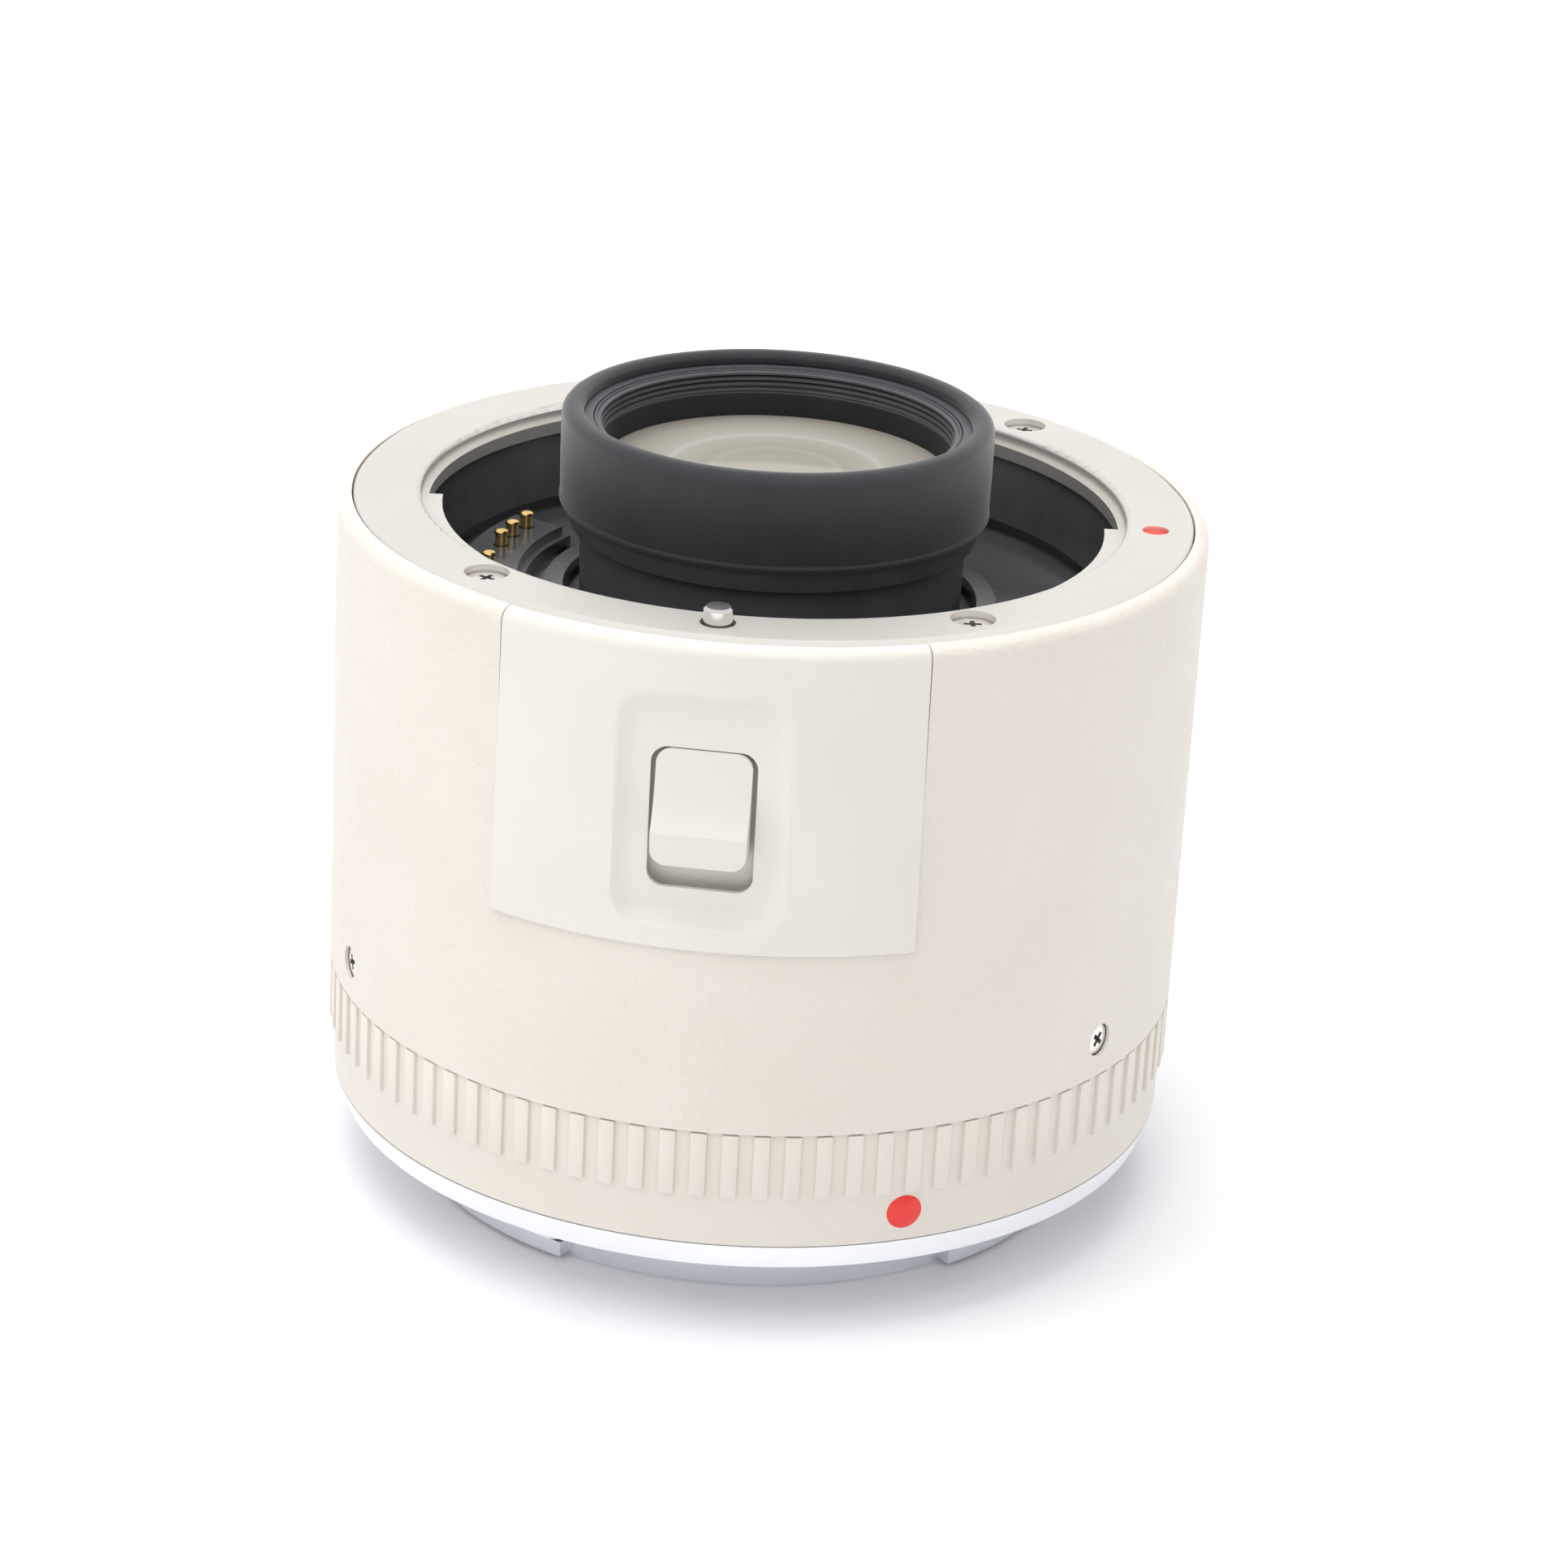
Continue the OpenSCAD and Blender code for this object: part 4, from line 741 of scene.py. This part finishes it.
carve(knob, outline, "INTERSECT")
soft = knob.modifiers.new("soft", "BEVEL")
soft.width = 0.34 * MM
soft.segments = 4
soft.limit_method = "ANGLE"
soft.angle_limit = math.radians(30)
bpy.ops.object.modifier_apply(modifier=soft.name)
bpy.ops.object.shade_smooth_by_angle(angle=math.radians(35))
dust_plate = block("dust_plate", (-4.975, -33.7, 37.75), (4.975, -33.0, 49.85))
round_edges(dust_plate, None, 0.1, 2)
take_place(joined([knob, dust_plate]), "release_slider", "release_knob")

# %% [markdown]
# ## Screws
# One screw is turned with a softly rounded head, and two tapered bars cut its cross. The faces inside the
# cross get a second, darker finish, painted shade for the hollow of the recess. Copies of the screw, each
# with its own mesh, then go to the front mount, the barrel and the rear mount.


# %% Screws
# A darker finish, painted shade for the hollow of a screw's cross recess.
painted_recess_shade, _ = dark_skin(
    "painted_recess_shade", (0.075, 0.070, 0.062), (0.115, 0.107, 0.096), 0.60, 0.20 * MM, 0.010 * MM
)


def cross_screw(name, head_r, head_h, shank_r, shank_len, cross):
    """A screw along Z with the top of its head at the origin; cross is the length of its recess."""
    head = softened(
        [
            (0, -head_h - shank_len, 0),
            (shank_r, -head_h - shank_len, 0.1),
            (shank_r, -head_h, 0),
            (head_r, -head_h, 0),
            (head_r, -0.10, 0.12),
            (head_r * 0.55, 0, 0.4),
            (0, 0, 0),
        ]
    )
    piece = turned(name, head, 40, closed=False)
    piece.data.materials.append(screw_steel)
    piece.data.materials.append(painted_recess_shade)
    for turn in (0, 90):
        bar = block("bar", (-cross / 2, -0.24, -0.62 * head_h), (cross / 2, 0.24, 0.62 * head_h))
        bpy.ops.object.mode_set(mode="EDIT")
        bpy.ops.mesh.select_all(action="DESELECT")
        bpy.ops.object.mode_set(mode="OBJECT")
        for face in bar.data.polygons:
            face.select = face.normal.z < -0.9
        bpy.ops.object.mode_set(mode="EDIT")
        bpy.ops.transform.resize(value=(0.55, 0.6, 1))
        bpy.ops.object.mode_set(mode="OBJECT")
        bar.rotation_euler.z = math.radians(turn)
        carve(piece, bar, "DIFFERENCE")
    # Painted shade: the faces deep in the cross recess take the darker finish.
    for face in piece.data.polygons:
        low = -0.9 * head_h * MM < face.center.z < -0.12 * MM
        face.material_index = int(low and face.center.xy.length < 0.8 * head_r * MM)
    return piece


def screw_set(name, screw, places, node):
    """Copies of a screw at several places, as one piece that stands for one node."""
    copies = [placed_copy(screw, name, place) for place in places]
    bpy.data.objects.remove(screw, do_unlink=True)
    take_place(joined(copies), "body", node)


# A turn is (direction from -Y, turn of the cross).
mount_turns = [(-37.5, 12), (37, 63), (144, 30), (-150, 75)]
mount_screw = cross_screw("front_screw", 1.65, 0.8, 1.0, 3.9, 1.8)
mount_places = [facing(angle, 31.45, 58.55, 0, spin) for angle, spin in mount_turns]
screw_set("front_screws", mount_screw, mount_places, "front_mount_screws")
side_turns = [(-60, 20), (60, 48), (180, 70)]
side_screw = cross_screw("side_screw", 1.35, 0.8, 0.8, 3.6, 1.7)
side_places = [facing(angle, 35.65, 21.25, 90, spin) for angle, spin in side_turns]
screw_set("side_screws", side_screw, side_places, "barrel_screws")
rear_turns = [(42, 15), (132, 55), (222, 80), (312, 35)]
rear_screw = cross_screw("rear_screw", 1.6, 0.9, 1.0, 4.1, 1.8)
rear_places = [facing(angle, 31.2, 6.0, 180, spin) for angle, spin in rear_turns]
screw_set("rear_screws", rear_screw, rear_places, "rear_mount_screws")

# %% [markdown]
# ## Lock pin, contacts and marks
# These are small turned pieces that catch the light, so they get many sides. The pin has a crisp chamfer,
# and the contacts have round caps. A contact is modelled once and copied to ten places: three, a wider
# gap, then seven.

# %% Lock pin
pin_outline = softened(
    [
        (0, 50.55, 0),
        (0.8, 50.55, 0.1),
        (0.8, 52.15, 0),
        (1.15, 52.15, 0),
        (1.15, 60.08, 0),
        (0.95, 60.3, 0),
        (0, 60.3, 0),
    ]
)
pin = turned("locking_pin", pin_outline, 64, closed=False, smooth=35)
pin_here = placed_copy(pin, "locking_pin", facing(0, 31.25, 0))
pin_here.data.materials.append(pin_steel)
bpy.data.objects.remove(pin, do_unlink=True)
take_place(pin_here, "release_slider", "lock_pin")

# %% Contacts
CONTACT_R, CONTACT_FIRST, CONTACT_STEP, CONTACT_GAP = 23.4, -109.3, 6.5, 7.5
CAP_R, CAP_LOW, CAP_RISE = 0.62, 52.78, 0.27


def contact_angle(i):
    """Direction of contact i from -Y, in degrees: the first three stand apart from the other seven."""
    return CONTACT_FIRST + CONTACT_STEP * i + (0 if i < 3 else CONTACT_GAP)


contact_outline = [(0, 47.3), (0.4, 47.3), (0.4, 49.5), (0.85, 49.5), (0.85, 50.0)]
contact_outline += [(0.5, 50.0), (0.5, 52.64), (CAP_R, 52.68), (CAP_R, CAP_LOW)]
for k in range(1, 6):
    turn = math.radians(15 * k)
    contact_outline.append((CAP_R * math.cos(turn), CAP_LOW + CAP_RISE * math.sin(turn)))
contact_outline.append((0, CAP_LOW + CAP_RISE))
contact = turned("contact", contact_outline, 32, closed=False)
for i in range(10):
    pin_copy = placed_copy(contact, f"gold_contact_{i + 1}", facing(contact_angle(i), CONTACT_R, 0))
    take_place(pin_copy, f"contact_{i + 1}", f"contact_pin_{i + 1}")
bpy.data.objects.remove(contact, do_unlink=True)

# %% [markdown]
# A wire spring sits under each contact and one under the slider.


# %% Springs
def coil(name, r, wire_r, low, high, turns):
    """A spring wound round Z between two heights."""
    deselect()
    bpy.ops.mesh.primitive_circle_add(
        vertices=8,
        radius=wire_r * MM,
        location=(r * MM, 0, (low + wire_r) * MM),
        rotation=(math.radians(90), 0, 0),
    )
    piece = bpy.context.object
    piece.name = name
    bpy.ops.object.transform_apply(location=True, rotation=True, scale=True)
    wind = piece.modifiers.new("wind", "SCREW")
    wind.screw_offset = (high - low - 2 * wire_r) / turns * MM
    wind.iterations = turns
    wind.steps = wind.render_steps = 16
    bpy.ops.object.modifier_apply(modifier=wind.name)
    bpy.ops.object.mode_set(mode="EDIT")
    bpy.ops.mesh.select_all(action="SELECT")
    bpy.ops.mesh.remove_doubles(threshold=0.001 * MM)
    bpy.ops.mesh.fill_holes(sides=0)
    bpy.ops.mesh.select_all(action="SELECT")
    bpy.ops.mesh.normals_make_consistent(inside=False)
    bpy.ops.object.mode_set(mode="OBJECT")
    bpy.ops.object.shade_smooth_by_angle(angle=math.radians(50))
    return piece


CONTACT_TRAVEL, SPRING_LOW, SPRING_HIGH = 1.0, 45.8, 49.5
small_coil = coil("coil", 0.64, 0.14, SPRING_LOW + 0.02, SPRING_HIGH - 0.04, 5)
share = 1 - CONTACT_TRAVEL / (SPRING_HIGH - SPRING_LOW)
for i in range(10):
    spring = placed_copy(small_coil, f"contact_coil_{i + 1}", facing(contact_angle(i), CONTACT_R, 0))
    take_place(spring, "body", "contact_springs")
    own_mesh(spring)
bpy.data.objects.remove(small_coil, do_unlink=True)

SLIDE_TRAVEL, LOCK_COIL_R = 2.2, 1.1
seat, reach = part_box("lock_spring")
lock_wire_r = (reach[0] - seat[0]) / 2 / MM - LOCK_COIL_R
long_coil = coil("coil", LOCK_COIL_R, lock_wire_r, seat[2] / MM, reach[2] / MM, 6)
centre = Matrix.Translation((0, (seat[1] + reach[1]) / 2, 0))
lock_coil = placed_copy(long_coil, "lock_coil", centre)
bpy.data.objects.remove(long_coil, do_unlink=True)
take_place(lock_coil, "body", "lock_spring")
share = 1 - SLIDE_TRAVEL * MM / (reach[2] - seat[2])
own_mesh(lock_coil)

# %% [markdown]
# The red marks are drops of enamel: a domed dot on the grip ring and a flat one sunk in the mount face.

# %% Marks
DOME_R, DOME_DEPTH = 3.2, 2.85
dome = []
for degrees in (27.9, 24, 20, 15, 10, 5):
    turn = math.radians(degrees)
    dome.append((DOME_R * math.sin(turn), DOME_R * math.cos(turn) - DOME_DEPTH))
dot = turned("enamel_dot", [(0, -1.2), (1.5, -1.2), *dome, (0, DOME_R - DOME_DEPTH)], 48, closed=False)
take_place(placed_copy(dot, "alignment_dot", facing(29, 35.46, 10.6, 90)), "body", "rear_index_dot")
bpy.data.objects.remove(dot, do_unlink=True)
mark_outline = softened([(0, 58.4, 0), (1.07, 58.4, 0), (1.07, 58.75, 0.12), (0, 58.75, 0)])
mark = turned("mark", mark_outline, 48, closed=False)
take_place(placed_copy(mark, "mount_mark", facing(90, 31.45, 0)), "body", "front_index_mark")
bpy.data.objects.remove(mark, do_unlink=True)

# %% [markdown]
# ## The studio
# The photograph was taken on a white table in a soft white room. The camera stands as it did there: its
# place was found by fitting the barrel's rings, 40 cm away and 22 degrees up, with a slight roll.

# %% Camera
deselect()
bpy.ops.object.camera_add(
    location=(0.04339, -0.35342, 0.17773),
    rotation=(math.radians(67.911), math.radians(-2.892), math.radians(7.840)),
)
camera = bpy.context.object
camera.data.sensor_width = 36
camera.data.lens = 104.39
camera.data.clip_start = 0.01
bpy.context.scene.camera = camera
print("camera at", [round(v, 3) for v in camera.location])

# %% [markdown]
# The floor is plain and pale. Far from the object, where the lamps get weak, a little light of its own
# keeps it white for the camera. Close to the object it has none, so the soft shadow stays.


# %% Floor
def seen_directly(tree):
    """1 for what the camera sees, straight or in metal and glass, and 0 for the light on the object."""
    path = tree.nodes.new("ShaderNodeLightPath")
    mirror = tree.nodes.new("ShaderNodeMath")
    mirror.operation = "MAXIMUM"
    both = tree.nodes.new("ShaderNodeMath")
    both.operation = "MAXIMUM"
    tree.links.new(path.outputs["Is Glossy Ray"], mirror.inputs[0])
    tree.links.new(path.outputs["Is Transmission Ray"], mirror.inputs[1])
    tree.links.new(path.outputs["Is Camera Ray"], both.inputs[0])
    tree.links.new(mirror.outputs["Value"], both.inputs[1])
    return both.outputs["Value"]


deselect()
bpy.ops.mesh.primitive_plane_add(size=6)
floor = bpy.context.object
floor.name = "floor"
floor_white, floor_shader = new_finish("floor_white", (0.90, 0.90, 0.915), 0.7)
floor_shader.inputs["Specular IOR Level"].default_value = 0.1
floor_tree = floor_white.node_tree
lift = floor_tree.nodes.new("ShaderNodeMath")
lift.operation = "MULTIPLY"
floor_place = floor_tree.nodes.new("ShaderNodeTexCoord")
distance = floor_tree.nodes.new("ShaderNodeVectorMath")
distance.operation = "LENGTH"
fade = floor_tree.nodes.new("ShaderNodeMapRange")
fade.inputs["From Min"].default_value = 0.12
fade.inputs["From Max"].default_value = 0.50
fade.inputs["To Max"].default_value = 0.6
floor_tree.links.new(floor_place.outputs["Object"], distance.inputs[0])
floor_tree.links.new(distance.outputs["Value"], fade.inputs["Value"])
floor_tree.links.new(fade.outputs["Result"], lift.inputs[1])
floor_tree.links.new(seen_directly(floor_tree), lift.inputs[0])
floor_shader.inputs["Emission Color"].default_value = (1, 1, 1, 1)
floor_tree.links.new(lift.outputs["Value"], floor_shader.inputs["Emission Strength"])
floor.data.materials.append(floor_white)
print("floor made")

# %% [markdown]
# A big soft lamp hangs overhead, others stand at the left, at the right and in front, and the white room
# does the rest. Metal mirrors the white room alone, as it would in a light tent, so the lamps are kept out
# of reflections.

# %% Lamps and room
room = bpy.data.worlds.new("white_room")
bpy.context.scene.world = room
room.use_nodes = True
room_tree = room.node_tree
background = room_tree.nodes["Background"]
background.inputs["Color"].default_value = (1, 1, 1, 1)
strength = room_tree.nodes.new("ShaderNodeMix")
strength.data_type = "FLOAT"
strength.inputs["A"].default_value = 0.47
strength.inputs["B"].default_value = 1.0
room_tree.links.new(seen_directly(room_tree), strength.inputs["Factor"])
room_tree.links.new(strength.outputs["Result"], background.inputs["Strength"])


def soft_lamp(name, place, size, power):
    """A square lamp that faces the middle of the object."""
    deselect()
    bpy.ops.object.light_add(type="AREA", location=place)
    lamp = bpy.context.object
    lamp.name = name
    lamp.data.size = size
    lamp.data.energy = power
    lamp.visible_glossy = False
    aim = Vector((0, 0, 0.03)) - Vector(place)
    lamp.rotation_euler = aim.to_track_quat("-Z", "Y").to_euler()
    return lamp


soft_lamp("lamp_over", (-0.10, 0.10, 0.75), 0.7, 4.6)
soft_lamp("lamp_left", (-0.62, -0.30, 0.55), 0.6, 2.2)
soft_lamp("lamp_right", (0.68, 0.22, 0.42), 0.5, 1.2)
soft_lamp("lamp_front", (0.05, -0.62, 0.75), 0.6, 2.4)
bpy.context.scene.view_settings.view_transform = "Standard"
print("lamps and room made")
